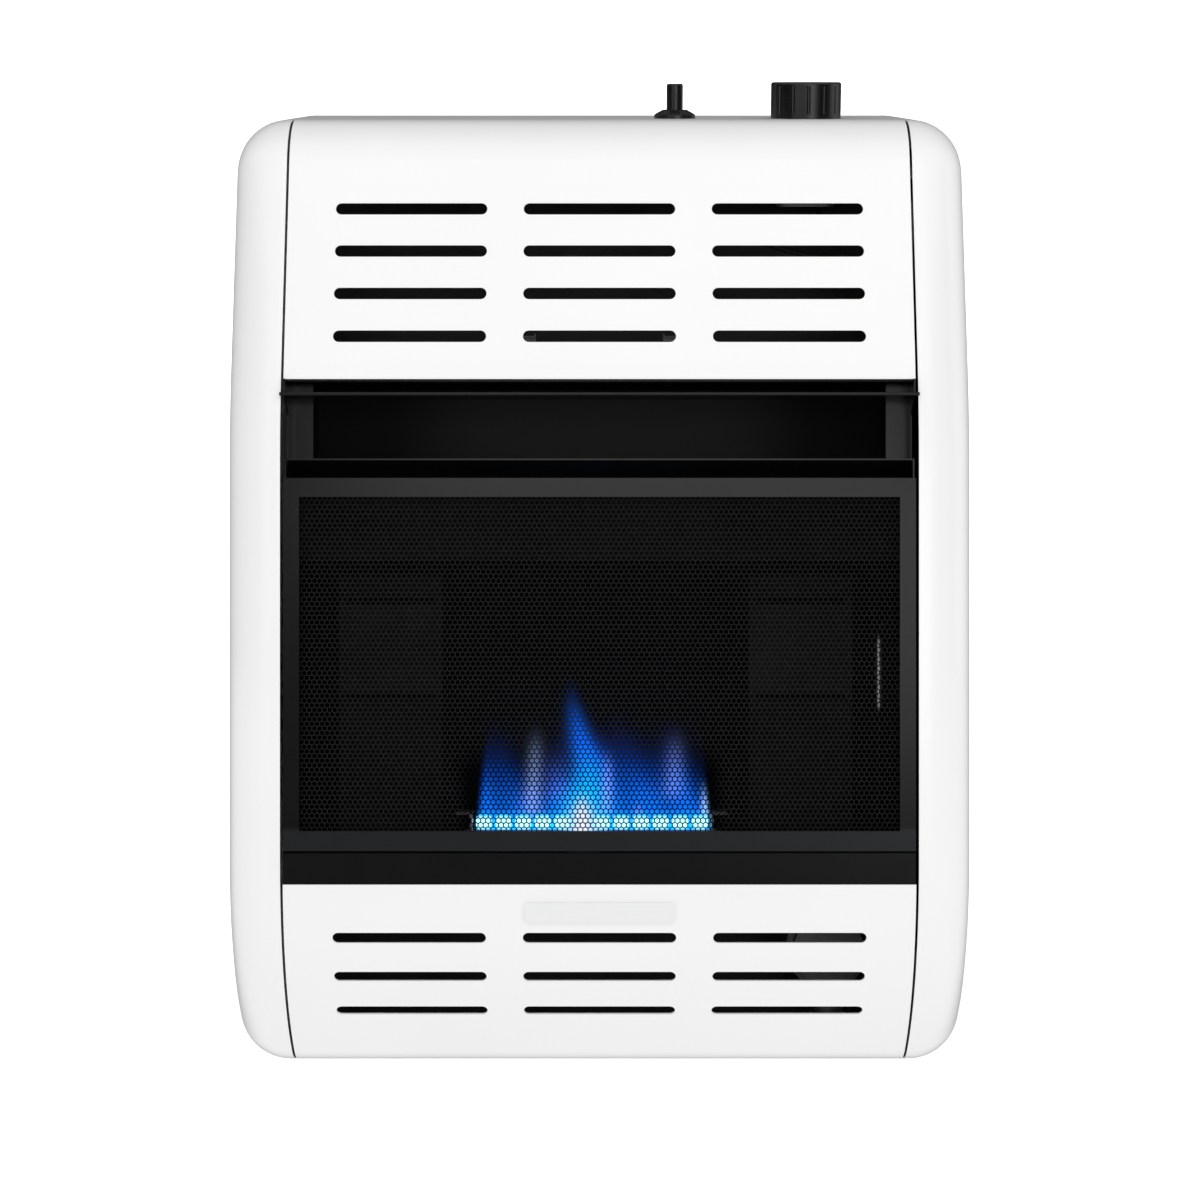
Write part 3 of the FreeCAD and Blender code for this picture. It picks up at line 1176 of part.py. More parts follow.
def control_knob():
    """Fluted cap with a boss for the stem and a pointer groove on its face."""
    top = KNOB_SHOW
    cap = rod(at(0, 0, KNOB_LOW), Z_AXIS, KNOB_R, KNOB_HEIGHT)
    rim = [e for e in cap.Edges if e.BoundBox.ZMin > top - 0.01]
    cap = cap.makeFillet(KNOB_EDGE, rim)
    cup = rod(at(0, 0, KNOB_LOW - SPARE), Z_AXIS, KNOB_R - KNOB_WALL, KNOB_HEIGHT - KNOB_WALL + SPARE)
    boss_low = KNOB_LOW + KNOB_BOSS_LIFT
    boss = rod(at(0, 0, boss_low), Z_AXIS, KNOB_BOSS_R, top - KNOB_WALL / 2 - boss_low)
    bore = rod(at(0, 0, KNOB_LOW), Z_AXIS, STEM_R + RUNNING, top - 2 * KNOB_WALL - KNOB_LOW)
    height = KNOB_SHOW - FLUTE_LOW - FLUTE_TOP
    cuts = [bore]
    for k in range(KNOB_FLUTES):
        turn = math.radians(360 * (k + 0.5) / KNOB_FLUTES)
        reach = KNOB_R + FLUTE_R - FLUTE_DEPTH
        foot = at(reach * math.cos(turn), reach * math.sin(turn), FLUTE_LOW)
        cuts.append(rod(foot, Z_AXIS, FLUTE_R, height))
    half = POINTER_WIDTH / 2
    tip = -KNOB_R + 2 * KNOB_EDGE
    cuts.append(block((-half, half), (tip, tip + POINTER_LENGTH), (top - POINTER_DEPTH, top + SPARE)))
    return on_deck(joined([cap.cut(cup), boss]).cut(cuts), KNOB_X)


def igniter_collar():
    """Tapered nut that holds the igniter in the deck."""
    bore = IGNITER_NECK_R + RUNNING
    mouth = BUTTON_R + SEAT_GAP
    shape = turned((
        (bore, 0),
        (COLLAR_R, 0),
        (COLLAR_R, COLLAR_RIM - COLLAR_EDGE),
        (COLLAR_R - COLLAR_EDGE, COLLAR_RIM),
        (COLLAR_TOP_R, COLLAR_HEIGHT),
        (mouth, COLLAR_HEIGHT),
        (mouth, COLLAR_RIM),
        (bore, COLLAR_RIM),
    ))
    return on_deck(shape, IGNITER_X)


def igniter_body():
    """Barrel of the piezo igniter with a threaded neck through the deck."""
    barrel = rod(at(0, 0, -IGNITER_DEPTH), Z_AXIS, IGNITER_R, IGNITER_DEPTH - SHEET)
    neck = rod(at(0, 0, -SHEET), Z_AXIS, IGNITER_NECK_R, SHEET + COLLAR_RIM - SEAT_GAP)
    floor = -IGNITER_DEPTH + IGNITER_FLOOR
    bore = rod(at(0, 0, floor), Z_AXIS, BUTTON_R + BUTTON_FIT, IGNITER_DEPTH + COLLAR_RIM)
    return on_deck(joined([barrel, neck]).cut(bore), IGNITER_X)


def igniter_button():
    """Push rod with a rounded top."""
    button = rod(at(0, 0, -BUTTON_DEPTH), Z_AXIS, BUTTON_R, BUTTON_DEPTH + COLLAR_HEIGHT + BUTTON_RISE)
    rim = [e for e in button.Edges if e.BoundBox.ZMin > COLLAR_HEIGHT]
    return on_deck(button.makeFillet(BUTTON_EDGE, rim), IGNITER_X)


def igniter_spring():
    low = -IGNITER_DEPTH + IGNITER_FLOOR
    return on_deck(coil(BUTTON_R - 2 * SPRING_WIRE, SPRING_WIRE, low, -BUTTON_DEPTH), IGNITER_X)


def back_panel_screws():
    return group([screw(p, Y_AXIS) for p in panel_screw_places()])


def valve_screws():
    return group([on_deck(screw(p, Z_AXIS), KNOB_X) for p in valve_screw_offsets()])


def burner_screws():
    return group([screw(p, Z_AXIS) for p in burner_screw_places()])


def save(name, shape):
    shape.exportStep("parts/" + name + ".step")


os.makedirs("parts", exist_ok=True)
right_shell = side_shell()
right_bracket = louver_bracket()
plain_wall = firebox_wall()
PIECES = {
    "right_side_shell": right_shell,
    "left_side_shell": mirrored(right_shell),
    "upper_front_panel": upper_front_panel(),
    "lower_front_panel": lower_front_panel(),
    "badge_plate": badge_plate(),
    "base_pan": base_pan(),
    "back_panel": back_panel(),
    "wall_bracket": wall_bracket(),
    "guard_frame": guard_frame(),
    "guard_net": guard_net(),
    "lower_rail": lower_rail(),
    "upper_louver": upper_louver(),
    "lower_louver": louver(LOWER_LOUVER_HEIGHT, LOWER_LOUVER_DEPTH, LOWER_LOUVER_DROP),
    "right_louver_bracket": right_bracket,
    "left_louver_bracket": mirrored(right_bracket),
    "firebox_back": firebox_back(),
    "firebox_right_wall": plain_wall.cut(wall_holes()),
    "firebox_left_wall": mirrored(plain_wall),
    "firebox_hood": firebox_hood(),
    "firebox_shelf": firebox_shelf(),
    "firebox_lintel": firebox_lintel(),
    "left_baffle": baffle(LEFT_BAFFLE),
    "right_baffle": baffle(RIGHT_BAFFLE),
    "burner_tube": burner_tube(),
    "burner_port_strip": burner_port_strip(),
    "left_burner_bracket": burner_bracket(*BRACKET_PLACES[0]),
    "right_burner_bracket": burner_bracket(*BRACKET_PLACES[1]),
    "mixing_tube": mixing_tube(),
    "orifice_fitting": orifice_fitting(),
    "orifice_bracket": orifice_bracket(),
    "pilot_bracket": pilot_bracket(),
    "pilot_hood": pilot_hood(),
    "spark_electrode": spark_electrode(),
    "thermocouple": thermocouple(),
    "thermocouple_lead": thermocouple_lead(),
    "ignition_lead": ignition_lead(),
    "pilot_tube": pilot_tube(),
    "inlet_tube": inlet_tube(),
    "main_tube": main_tube(),
    "tube_nuts": tube_nuts(),
    "pressure_regulator": pressure_regulator(),
    "regulator_bracket": regulator_bracket(),
    "gas_inlet_fitting": gas_inlet_fitting(),
    "gas_valve_body": gas_valve_body(),
    "valve_bracket": valve_bracket(),
    "valve_bonnet": valve_bonnet(),
    "valve_stem": valve_stem(),
    "reset_plunger": reset_plunger(),
    "valve_spring": valve_spring(),
    "control_knob": control_knob(),
    "igniter_collar": igniter_collar(),
    "igniter_body": igniter_body(),
    "igniter_button": igniter_button(),
    "igniter_spring": igniter_spring(),
    "back_panel_screws": back_panel_screws(),
    "valve_screws": valve_screws(),
    "burner_screws": burner_screws(),
}
for name, shape in PIECES.items():
    save(name, shape)
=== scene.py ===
import json
import math

import bpy
import numpy as np
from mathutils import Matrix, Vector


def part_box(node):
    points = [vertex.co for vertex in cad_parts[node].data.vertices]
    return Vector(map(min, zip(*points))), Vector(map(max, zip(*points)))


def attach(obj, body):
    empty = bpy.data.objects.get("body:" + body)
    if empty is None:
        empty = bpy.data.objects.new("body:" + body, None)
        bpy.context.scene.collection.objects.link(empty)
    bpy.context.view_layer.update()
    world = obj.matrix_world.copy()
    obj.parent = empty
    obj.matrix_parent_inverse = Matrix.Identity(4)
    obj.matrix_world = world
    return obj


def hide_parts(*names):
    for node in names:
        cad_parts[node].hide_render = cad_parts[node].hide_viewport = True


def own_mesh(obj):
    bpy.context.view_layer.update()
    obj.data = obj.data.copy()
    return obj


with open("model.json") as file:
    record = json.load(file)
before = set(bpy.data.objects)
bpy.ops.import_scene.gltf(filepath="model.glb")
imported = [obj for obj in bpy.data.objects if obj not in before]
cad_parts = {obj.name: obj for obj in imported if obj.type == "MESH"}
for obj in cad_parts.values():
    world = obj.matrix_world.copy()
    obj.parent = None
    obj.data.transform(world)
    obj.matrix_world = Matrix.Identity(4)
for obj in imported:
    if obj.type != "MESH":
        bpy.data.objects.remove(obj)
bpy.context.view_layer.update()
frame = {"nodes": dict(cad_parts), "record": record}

# Dressing of a wall-hung gas room heater. Metres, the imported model's frame: +X right, the front looks
# towards -Y, +Z up. Heights written as h are above the base and pass through up().

NODES = frame["nodes"]
MM = 0.001
BASE_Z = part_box("right_side_shell")[0][2]
FRONT_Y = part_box("guard_frame")[0][1]
BURNER_Y = (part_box("burner_port_strip")[0][1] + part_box("burner_port_strip")[1][1]) / 2
GUARD_FOOT_Z = (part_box("guard_frame")[0][2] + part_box("lower_rail")[1][2]) / 2
PORT_TOP_H = (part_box("burner_port_strip")[1][2] - BASE_Z) / MM

# Heights in millimetres between which painted light or shade changes: (start, end) of the band's lower
# and its upper edge
BRIGHT_TUBE = ((224, 230), (266, 274))
PANE_MIDDLE = ((234, 238), (292, 296))
OUTLET_BACK = ((370, 384), (430, 440))


def up(height):
    """Z of heights above the base, in millimetres."""
    return BASE_Z + np.asarray(height) * MM


def smooth(low, high, value):
    """Smooth step from 0 at low to 1 at high."""
    t = np.clip((value - low) / (high - low), 0.0, 1.0)
    return t * t * (3.0 - 2.0 * t)


def bell(value, middle, width):
    return np.exp(-((value - middle) / width) ** 2)


# Materials


class Field:
    """An output socket of a shader tree, with arithmetic that adds Math nodes."""

    def __init__(self, tree, socket):
        self.tree = tree
        self.socket = socket

    def node(self, kind, inputs, output=0, **settings):
        """Add a node of this kind, fill its inputs by name, and return one of its outputs."""
        made = self.tree.nodes.new(kind)
        for key, value in settings.items():
            setattr(made, key, value)
        for key, value in inputs.items():
            self.fill(made.inputs[key], value)
        return Field(self.tree, made.outputs[output])

    def fill(self, socket, value):
        if isinstance(value, Field):
            self.tree.links.new(value.socket, socket)
        else:
            socket.default_value = value

    def math(self, operation, left, right):
        return self.node("ShaderNodeMath", {0: left, 1: right}, operation=operation)

    def __add__(self, other):
        return self.math("ADD", self, other)

    def __radd__(self, other):
        return self.math("ADD", other, self)

    def __sub__(self, other):
        return self.math("SUBTRACT", self, other)

    def __rsub__(self, other):
        return self.math("SUBTRACT", other, self)

    def __mul__(self, other):
        return self.math("MULTIPLY", self, other)

    def __rmul__(self, other):
        return self.math("MULTIPLY", other, self)

    def __truediv__(self, other):
        return self.math("DIVIDE", self, other)

    def __rtruediv__(self, other):
        return self.math("DIVIDE", other, self)

    def __pow__(self, other):
        return self.math("POWER", self, other)


def start(name, constants):
    """A material with a Principled shader, and its Object coordinates as a Field."""
    material = bpy.data.materials.new(name)
    material.use_nodes = True
    tree = material.node_tree
    shader = tree.nodes["Principled BSDF"]
    for key, value in constants.items():
        shader.inputs[key].default_value = value
    place = Field(tree, tree.nodes.new("ShaderNodeTexCoord").outputs["Object"])
    return material, shader, place


def noise(place, scale, detail=3.0):
    return place.node("ShaderNodeTexNoise", {"Vector": place, "Scale": scale, "Detail": detail})


def stretched(place, scale, along):
    """Noise drawn out into fine lines along one axis."""
    factors = [scale, scale, scale]
    factors[along] = scale * 0.02
    moved = place.node("ShaderNodeVectorMath", {0: place, 1: tuple(factors)}, operation="MULTIPLY")
    return noise(moved, 1.0, 2.0)


def cells(place, scale):
    """One random value per crystal-like cell."""
    colour = place.node("ShaderNodeTexVoronoi", {"Vector": place, "Scale": scale}, output=1)
    return place.node("ShaderNodeSeparateColor", {"Color": colour})


def finish(name, dark, light, pattern, rough, spread, grain,
           metallic=0.0, specular=0.5, coat=0.0, painted_shadow=None):
    """Surface whose colour and roughness follow pattern and whose relief follows grain.

    pattern is a function of place giving about 0 to 1; grain is (function of place, height in metres).
    painted_shadow, if given, is 1 along a line of painted shadow, which reflects nothing.
    """
    material, shader, place = start(name, {
        "Metallic": metallic, "Specular IOR Level": specular,
        "Coat Weight": coat, "Coat Roughness": 0.12})
    # A painted shadow line: full metallic on the near-black base reflects nothing, so the line renders
    # dark.
    if painted_shadow:
        joint = painted_shadow(place)
        joint.fill(shader.inputs["Metallic"], joint)
    amount = pattern(place)
    colour = place.node("ShaderNodeMixRGB", {
        "Fac": amount, "Color1": (*dark, 1), "Color2": (*light, 1)})
    colour.fill(shader.inputs["Base Color"], colour)
    value = rough + spread * (amount - 0.5)
    value.fill(shader.inputs["Roughness"], value)
    relief = place.node("ShaderNodeBump", {
        "Height": grain[0](place), "Distance": grain[1], "Strength": 1.0})
    relief.fill(shader.inputs["Normal"], relief)
    return material


def grey(value, warm=0.0):
    return (value * (1 + warm), value, value * (1 - warm))


def axis(place, name):
    """One coordinate of place."""
    return place.node("ShaderNodeSeparateXYZ", {"Vector": place}, output="XYZ".index(name))


def ramp(value, low, high):
    """0 below low, 1 above high, smooth between."""
    return value.node("ShaderNodeMapRange", {"Value": value, "From Min": low, "From Max": high},
                      interpolation_type="SMOOTHSTEP")


def band(height, edges):
    """1 between two soft edges, given as heights above the base in millimetres, 0 below and above."""
    (low, full), (full_end, high) = edges
    rising = ramp(height, float(up(low)), float(up(full)))
    return rising * (1.0 - ramp(height, float(up(full_end)), float(up(high))))


def within(value, near, far):
    """1 where value is nearer to zero than near, 0 where it is further than far."""
    return 1.0 - ramp(value * value, near ** 2, far ** 2)


def unshaded_outside(place):
    """1 on the wall side of the back sheet and its pocket, 0 in the cabinet, where the steel is painted
    dark as shade.
    """
    pocket = within(axis(place, "X"), 0.1741, 0.1769) * within(axis(place, "Z"), 0.0313, 0.0322)
    return ramp(axis(place, "Y") + 0.011 * pocket, -0.0032, -0.0028)


def unshaded_span(place):
    """1 over the span of tube that keeps its bright colour, 0 above and below it, where the tube is
    painted near-black as shade.
    """
    return band(axis(place, "Z"), BRIGHT_TUBE)


def shaded_before_flames(place):
    """1 where the net hangs before the burning ports, where it is painted black as shade, 0 elsewhere.
    """
    across, height = axis(place, "X"), axis(place, "Z")
    wide = ramp(across, -0.092, -0.078) * (1.0 - ramp(across, 0.068, 0.080))
    return wide * (1.0 - ramp(height, float(up(186)), float(up(214))))


def unshaded_forward(place):
    """1 on the paler middle of the plates behind the net, less above and below it, 0 deeper in, where
    the steel is painted darker as shade.
    """
    height = axis(place, "Z")
    middle = band(height, PANE_MIDDLE)
    lintel = ramp(height, float(up(318)), float(up(322)))
    return (0.5 + 0.5 * middle + 0.1 * lintel) * (1.0 - ramp(axis(place, "Y"), -0.157, -0.150))


def guard_seam_shadow(place):
    """1 along the painted shadow between the guard's lower bar and the rail under it."""
    return within(axis(place, "Z") - GUARD_FOOT_Z, 0.5 * MM, 0.9 * MM)


def guard_bar_flame_light(place):
    """1 on the guard's lower bar, where light from the flames is painted as a paler, bluer colour, 0
    elsewhere.
    """
    height = axis(place, "Z")
    above = 1.0 - ramp(height, GUARD_FOOT_Z + 12 * MM, GUARD_FOOT_Z + 16 * MM)
    return ramp(height, GUARD_FOOT_Z, GUARD_FOOT_Z + MM) * above


def outlet_painted_light(place):
    """1 on the steel seen in the middle of the warm-air outlet, where light is painted as a paler
    colour, less towards its sides, 0 elsewhere.
    """
    sides = 1.0 - within(axis(place, "X"), 0.0632, 0.1483)
    return band(axis(place, "Z"), OUTLET_BACK) * (1.0 - 0.6 * sides)


MATERIALS = {
    "white_enamel": finish(
        "white_enamel", grey(0.83, 0.002), grey(0.87, 0.002), lambda p: noise(p, 9.0), 0.30, 0.06,
        (lambda p: noise(p, 420.0, 2.0), 0.000012), coat=0.25),
    "badge_grey": finish(
        "badge_grey", grey(0.77, -0.003), grey(0.81, -0.003),
        lambda p: stretched(p, 2400.0, 0), 0.36, 0.08,
        (lambda p: stretched(p, 2400.0, 0), 0.000006)),
    # galvanised steel: inside the cabinet it is painted dark as shade
    "galvanised_steel": finish(
        "galvanised_steel", grey(0.05), grey(0.66, -0.02),
        lambda p: unshaded_outside(p) * (0.84 + 0.16 * cells(p, 180.0)), 0.50, 0.10,
        (lambda p: noise(p, 900.0), 0.000010), metallic=0.6),
    # black enamel: painted flame light on the guard's lower bar, and a painted shadow line where it
    # meets the rail
    "black_enamel": finish(
        "black_enamel", grey(0.002, -0.05), grey(0.016, -0.08),
        lambda p: 0.15 * noise(p, 60.0) + 0.6 * guard_bar_flame_light(p), 0.24, 0.06,
        (lambda p: noise(p, 1500.0, 2.0), 0.000010), specular=0.22, painted_shadow=guard_seam_shadow),
    # black net: before the flames the strands are painted black as shade
    "black_net": finish(
        "black_net", grey(0.0), grey(0.0220),
        lambda p: (0.4 + 0.7 * noise(p, 350.0)) * (1.0 - shaded_before_flames(p)), 0.50, 0.14,
        (lambda p: noise(p, 2600.0, 2.0), 0.000010), specular=0.04),
    # firebox steel: painted darker as shade deeper in, behind the plates near the net
    "firebox_steel": finish(
        "firebox_steel", grey(0.001), grey(0.038, 0.02),
        # painted light on the steel seen through the warm-air outlet
        lambda p: (0.03 + 0.40 * unshaded_forward(p)) * noise(p, 26.0, 5.0) + outlet_painted_light(p), 0.66, 0.10,
        (lambda p: noise(p, 700.0), 0.000020), specular=0.03),
    "burner_steel": finish(
        "burner_steel", (0.10, 0.085, 0.075), (0.27, 0.25, 0.24),
        lambda p: noise(p, 55.0, 5.0), 0.40, 0.20,
        (lambda p: stretched(p, 2600.0, 0), 0.000008), metallic=0.9),
    "brass": finish(
        "brass", (0.42, 0.27, 0.09), (0.62, 0.44, 0.17), lambda p: noise(p, 120.0), 0.34, 0.16,
        (lambda p: noise(p, 1600.0), 0.000006), metallic=1.0),
    # aluminium tube: above and below its bright span it is painted near-black as shade
    "aluminium_tube": finish(
        "aluminium_tube", grey(0.006, 0.08), grey(0.62),
        lambda p: unshaded_span(p) * (0.8 + 0.2 * noise(p, 90.0)), 0.40, 0.10,
        (lambda p: stretched(p, 2200.0, 2), 0.000008), metallic=1.0),
    "cast_aluminium": finish(
        "cast_aluminium", grey(0.20), grey(0.32), lambda p: noise(p, 160.0, 5.0), 0.52, 0.16,
        (lambda p: noise(p, 1100.0, 4.0), 0.000040), metallic=0.9),
    "copper_lead": finish(
        "copper_lead", (0.060, 0.030, 0.020), (0.14, 0.070, 0.045),
        lambda p: noise(p, 110.0), 0.36, 0.16,
        (lambda p: stretched(p, 2200.0, 2), 0.000006), metallic=1.0),
    "lead_sleeve": finish(
        "lead_sleeve", grey(0.012), grey(0.020), lambda p: noise(p, 200.0), 0.58, 0.12,
        (lambda p: noise(p, 2400.0), 0.000008)),
    "ceramic": finish(
        "ceramic", (0.72, 0.68, 0.58), (0.80, 0.77, 0.69), lambda p: noise(p, 140.0), 0.24, 0.10,
        (lambda p: noise(p, 1200.0), 0.000004), coat=0.4),
    "spring_steel": finish(
        "spring_steel", grey(0.36), grey(0.52), lambda p: noise(p, 180.0), 0.34, 0.14,
        (lambda p: noise(p, 2200.0), 0.000006), metallic=1.0),
    "black_plastic": finish(
        "black_plastic", grey(0.002), grey(0.004), lambda p: noise(p, 130.0), 0.26, 0.08,
        (lambda p: noise(p, 2600.0, 2.0), 0.000006), specular=0.42),
}
for part in frame["record"]["subparts"]:
    for slot in NODES[part["node"]].material_slots:
        slot.material = MATERIALS[part["material_slot"]]


# New pieces


def put(name, data):
    """Object of a mesh, light or camera, placed in the scene."""
    made = bpy.data.objects.new(name, data)
    bpy.context.scene.collection.objects.link(made)
    return made


def surface(name, points, quads, material):
    """Object of (n, 3) points and (m, 4) corner rows, shaded smooth."""
    mesh = bpy.data.meshes.new(name)
    mesh.from_pydata(points.reshape(-1, 3).tolist(), [], quads.reshape(-1, 4).tolist())
    mesh.polygons.foreach_set("use_smooth", np.ones(len(mesh.polygons), dtype=bool))
    mesh.materials.append(material)
    return put(name, mesh)


def piece(name, points, quads, material, body="cabinet"):
    """Surface that is part of the heater and rides on a body."""
    made = surface(name, points, quads, material)
    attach(made, body)
    return made


def grid_quads(rows, columns):
    """Corner rows of a grid of points stored row by row."""
    first = (np.arange(rows - 1)[:, None] * columns + np.arange(columns - 1)).ravel()
    return np.stack([first, first + 1, first + columns + 1, first + columns], axis=1)


def ring_quads(rows, columns):
    """Corner rows of rings of points stored ring by ring, each ring closed on itself."""
    row = np.arange(rows - 1)[:, None] * columns
    first = (row + np.arange(columns)).ravel()
    after = (row + (np.arange(columns) + 1) % columns).ravel()
    return np.stack([first, after, after + columns, first + columns], axis=1)


def pushed_spring(name, node, joint, turns=6, wire=0.8 * MM):
    """Coil spring about the axis of its joint.

    A circle of the wire's size is carried along a helix about the joint's axis. The circle shrinks
    to nothing at both ends, which closes them.
    """
    moves = next(j for j in frame["record"]["behaviour"]["joints"] if j["name"] == joint)
    axis_z = np.array(moves["axis"])
    axis_x = np.array([1.0, 0.0, 0.0])
    axis_y = np.cross(axis_z, axis_x)
    low, high = (np.array(corner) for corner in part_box(node))
    outer = (high[0] - low[0]) / 2
    length = (high[2] - low[2] - 2 * outer * abs(axis_z[1])) / axis_z[2]
    steps = 24 * turns
    turn = np.linspace(0, 2 * math.pi * turns, steps + 1)[[0, *range(steps + 1), steps]][:, None]
    size = wire / 2 * np.concatenate([[0.0], np.ones(steps + 1), [0.0]])[:, None]
    round_wire = np.linspace(2 * math.pi, 0, 8, endpoint=False)
    reach = outer - wire / 2 + size * np.cos(round_wire)
    lift = (turn / turn.max() - 0.5) * (length - wire) + size * np.sin(round_wire)
    points = (low + high) / 2 + (reach * np.cos(turn))[..., None] * axis_x
    points = points + (reach * np.sin(turn))[..., None] * axis_y + lift[..., None] * axis_z
    made = piece(name, points, ring_quads(*reach.shape), MATERIALS["spring_steel"])
    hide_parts(node)
    travel = moves["range_m"][1] - moves["range_m"][0]
    foot = (low + high) / 2 - axis_z * length / 2
    1 - travel / length
    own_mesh(made)


def fine_net():
    """Net of point-up hexagons in the plane of the CAD net.

    Cell (i, j) has its middle at ((i + half of j's parity) pitch_x, j pitch_z), and owns its left side
    and its two upper sides. Each side is a strand of three faces with a ridge towards the front.
    """
    pitch_x, pitch_z = 3.14 * MM, 2.83 * MM
    width, depth = 0.75 * MM, 0.46 * MM
    low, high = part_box("guard_net")
    columns = int((high[0] - low[0]) / pitch_x - 0.6)
    rows = int((high[2] - low[2]) / pitch_z - 0.4)
    i, j = np.meshgrid(np.arange(columns), np.arange(rows))
    x0 = (low[0] + high[0] - (columns - 0.5) * pitch_x) / 2
    z0 = (low[2] + high[2] - (rows - 1) * pitch_z) / 2
    x = (x0 + (i + 0.5 * (j % 2)) * pitch_x).ravel()
    z = (z0 + j * pitch_z).ravel()
    corners = np.array([[-0.5, -1 / 3], [-0.5, 1 / 3], [0, 2 / 3], [0.5, 1 / 3]]) * (pitch_x, pitch_z)
    middles = np.stack([x, z], axis=1)[:, None, :]
    ends = np.concatenate([
        np.stack([middles + corners[k], middles + corners[k + 1]], axis=2) for k in range(3)
    ]).reshape(-1, 2, 2)
    way = ends[:, 1] - ends[:, 0]
    way /= np.linalg.norm(way, axis=1, keepdims=True)
    side = np.stack([-way[:, 1], way[:, 0]], axis=1) * width / 2
    y = (low[1] + high[1]) / 2
    points = np.zeros((len(ends), 2, 3, 3))
    for k, (push, shift) in enumerate(((1, depth / 2), (0, -depth / 2), (-1, depth / 2))):
        points[:, :, k, 0] = ends[:, :, 0] + push * side[:, None, 0]
        points[:, :, k, 1] = y + shift
        points[:, :, k, 2] = ends[:, :, 1] + push * side[:, None, 1]
    one = np.array([[0, 3, 4, 1], [1, 4, 5, 2], [2, 5, 3, 0]])
    quads = np.arange(len(ends))[:, None, None] * 6 + one
    net = piece("fine_net", points, quads, MATERIALS["black_net"])
    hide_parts("guard_net")


def glow(name, strength):
    """Flame material: the piece's own colour and cover attributes drive emission and alpha."""
    material, shader, place = start(name, {
        "Base Color": (0.0, 0.0, 0.0, 1.0), "Specular IOR Level": 0.0, "Roughness": 1.0,
        "Emission Strength": strength})
    colour = place.node("ShaderNodeAttribute", {}, attribute_name="glow_colour")
    cover = place.node("ShaderNodeAttribute", {}, output=2, attribute_name="glow_cover")
    colour.fill(shader.inputs["Emission Color"], colour)
    cover.fill(shader.inputs["Alpha"], cover)
    return material


def paint(made, heat, cover):
    """Store flame colours and cover at the points of a piece."""
    mesh = made.data
    shades = np.concatenate([heat.reshape(-1, 3), np.ones((heat.size // 3, 1))], axis=1)
    mesh.attributes.new("glow_colour", "FLOAT_COLOR", "POINT").data.foreach_set("color", shades.ravel())
    mesh.attributes.new("glow_cover", "FLOAT", "POINT").data.foreach_set("value", cover.ravel())


def flame_sheet():
    """Standing sheet of blue flame over the burner ports.

    Colour at (x, h) is a sum of soft shapes: a body under a wavy top line, one tall leaning tongue and
    a few slim pale streaks, each a bell across its own middle line and a smooth step along it.
    """
    x, h = np.meshgrid(np.linspace(-86, 78, 165), np.linspace(PORT_TOP_H - 0.5, 262, 118))
    wave = 2.5 * np.sin(x / 9.0) * smooth(150, 190, h)
    top = 190 + 9 * np.sin(x / 17.0 + 0.6) + 5 * np.sin(x / 6.1) + 6 * bell(x, 52, 16)
    sides = smooth(-83, -76, x - 0.08 * (h - 145)) * (1 - smooth(68, 74, x + 0.05 * (h - 145)))
    body = sides * (1 - smooth(top - 34, top + 26, h))
    rise = np.clip((h - 145) / 60, 0, 1)
    centre = -10.8 + 3.5 * bell(h, 183, 16) - 7.5 * smooth(190, 240, h)
    half = 17.0 - 4.0 * smooth(160, 180, h) - 6.5 * smooth(185, 246, h)
    tongue = bell(x, centre, half) ** 1.5 * (1 - smooth(196, 252, h))
    heat = np.zeros(x.shape + (3,))
    shade = body * (1.05 - 0.10 * bell(x, -62, 22) + 0.14 * np.sin(x / 4.3 + h / 23.0))
    rise = rise[..., None]
    heat += shade[..., None] * ((1 - rise) * (0.0, 0.16, 0.85) + rise * (0.003, 0.03, 0.42))
    cool = smooth(160, 205, h)[..., None]
    heat += tongue[..., None] * ((1 - cool) * (0.0, 0.44, 0.74) + cool * (0.0, 0.115, 0.82))
    for middle, lean, low, high, size, tone in (
        (-44.5, 0.05, 150, 220, 5.8, (0.15, 0.20, 0.32)),
        (-29.0, 0.02, 160, 208, 8.0, (0.035, 0.03, 0.08)),
        (4.2, 0.03, 150, 202, 3.4, (0.11, 0.10, 0.26)),
        (25.0, 0.02, 146, 166, 2.6, (0.35, 0.45, 0.60)),
        (47.0, 0.05, 162, 220, 6.6, (0.075, 0.10, 0.16)),
        (69.0, -0.03, 146, 182, 2.4, (0.30, 0.50, 0.65)),
    ):
        line = middle + lean * (h - 150)
        streak = bell(x, line, size) * smooth(low, low + 12, h) * (1 - smooth(high - 30, high, h))
        heat += streak[..., None] * tone
    foot = sides * (1 - smooth(147, 160, h))
    haze = sides * (1 - smooth(185, 250, h))
    heat += foot[..., None] * (0.01, 0.50, 0.95) + haze[..., None] * (0.002, 0.012, 0.06)
    cover = np.clip(heat.max(axis=2) * 1.3, 0, 1)
    points = np.stack([x * MM, BURNER_Y + wave * MM, up(h)], axis=2)
    made = piece("flame_sheet", points, grid_quads(*x.shape), glow("flame_blue", 1.18))
    paint(made, heat, cover)


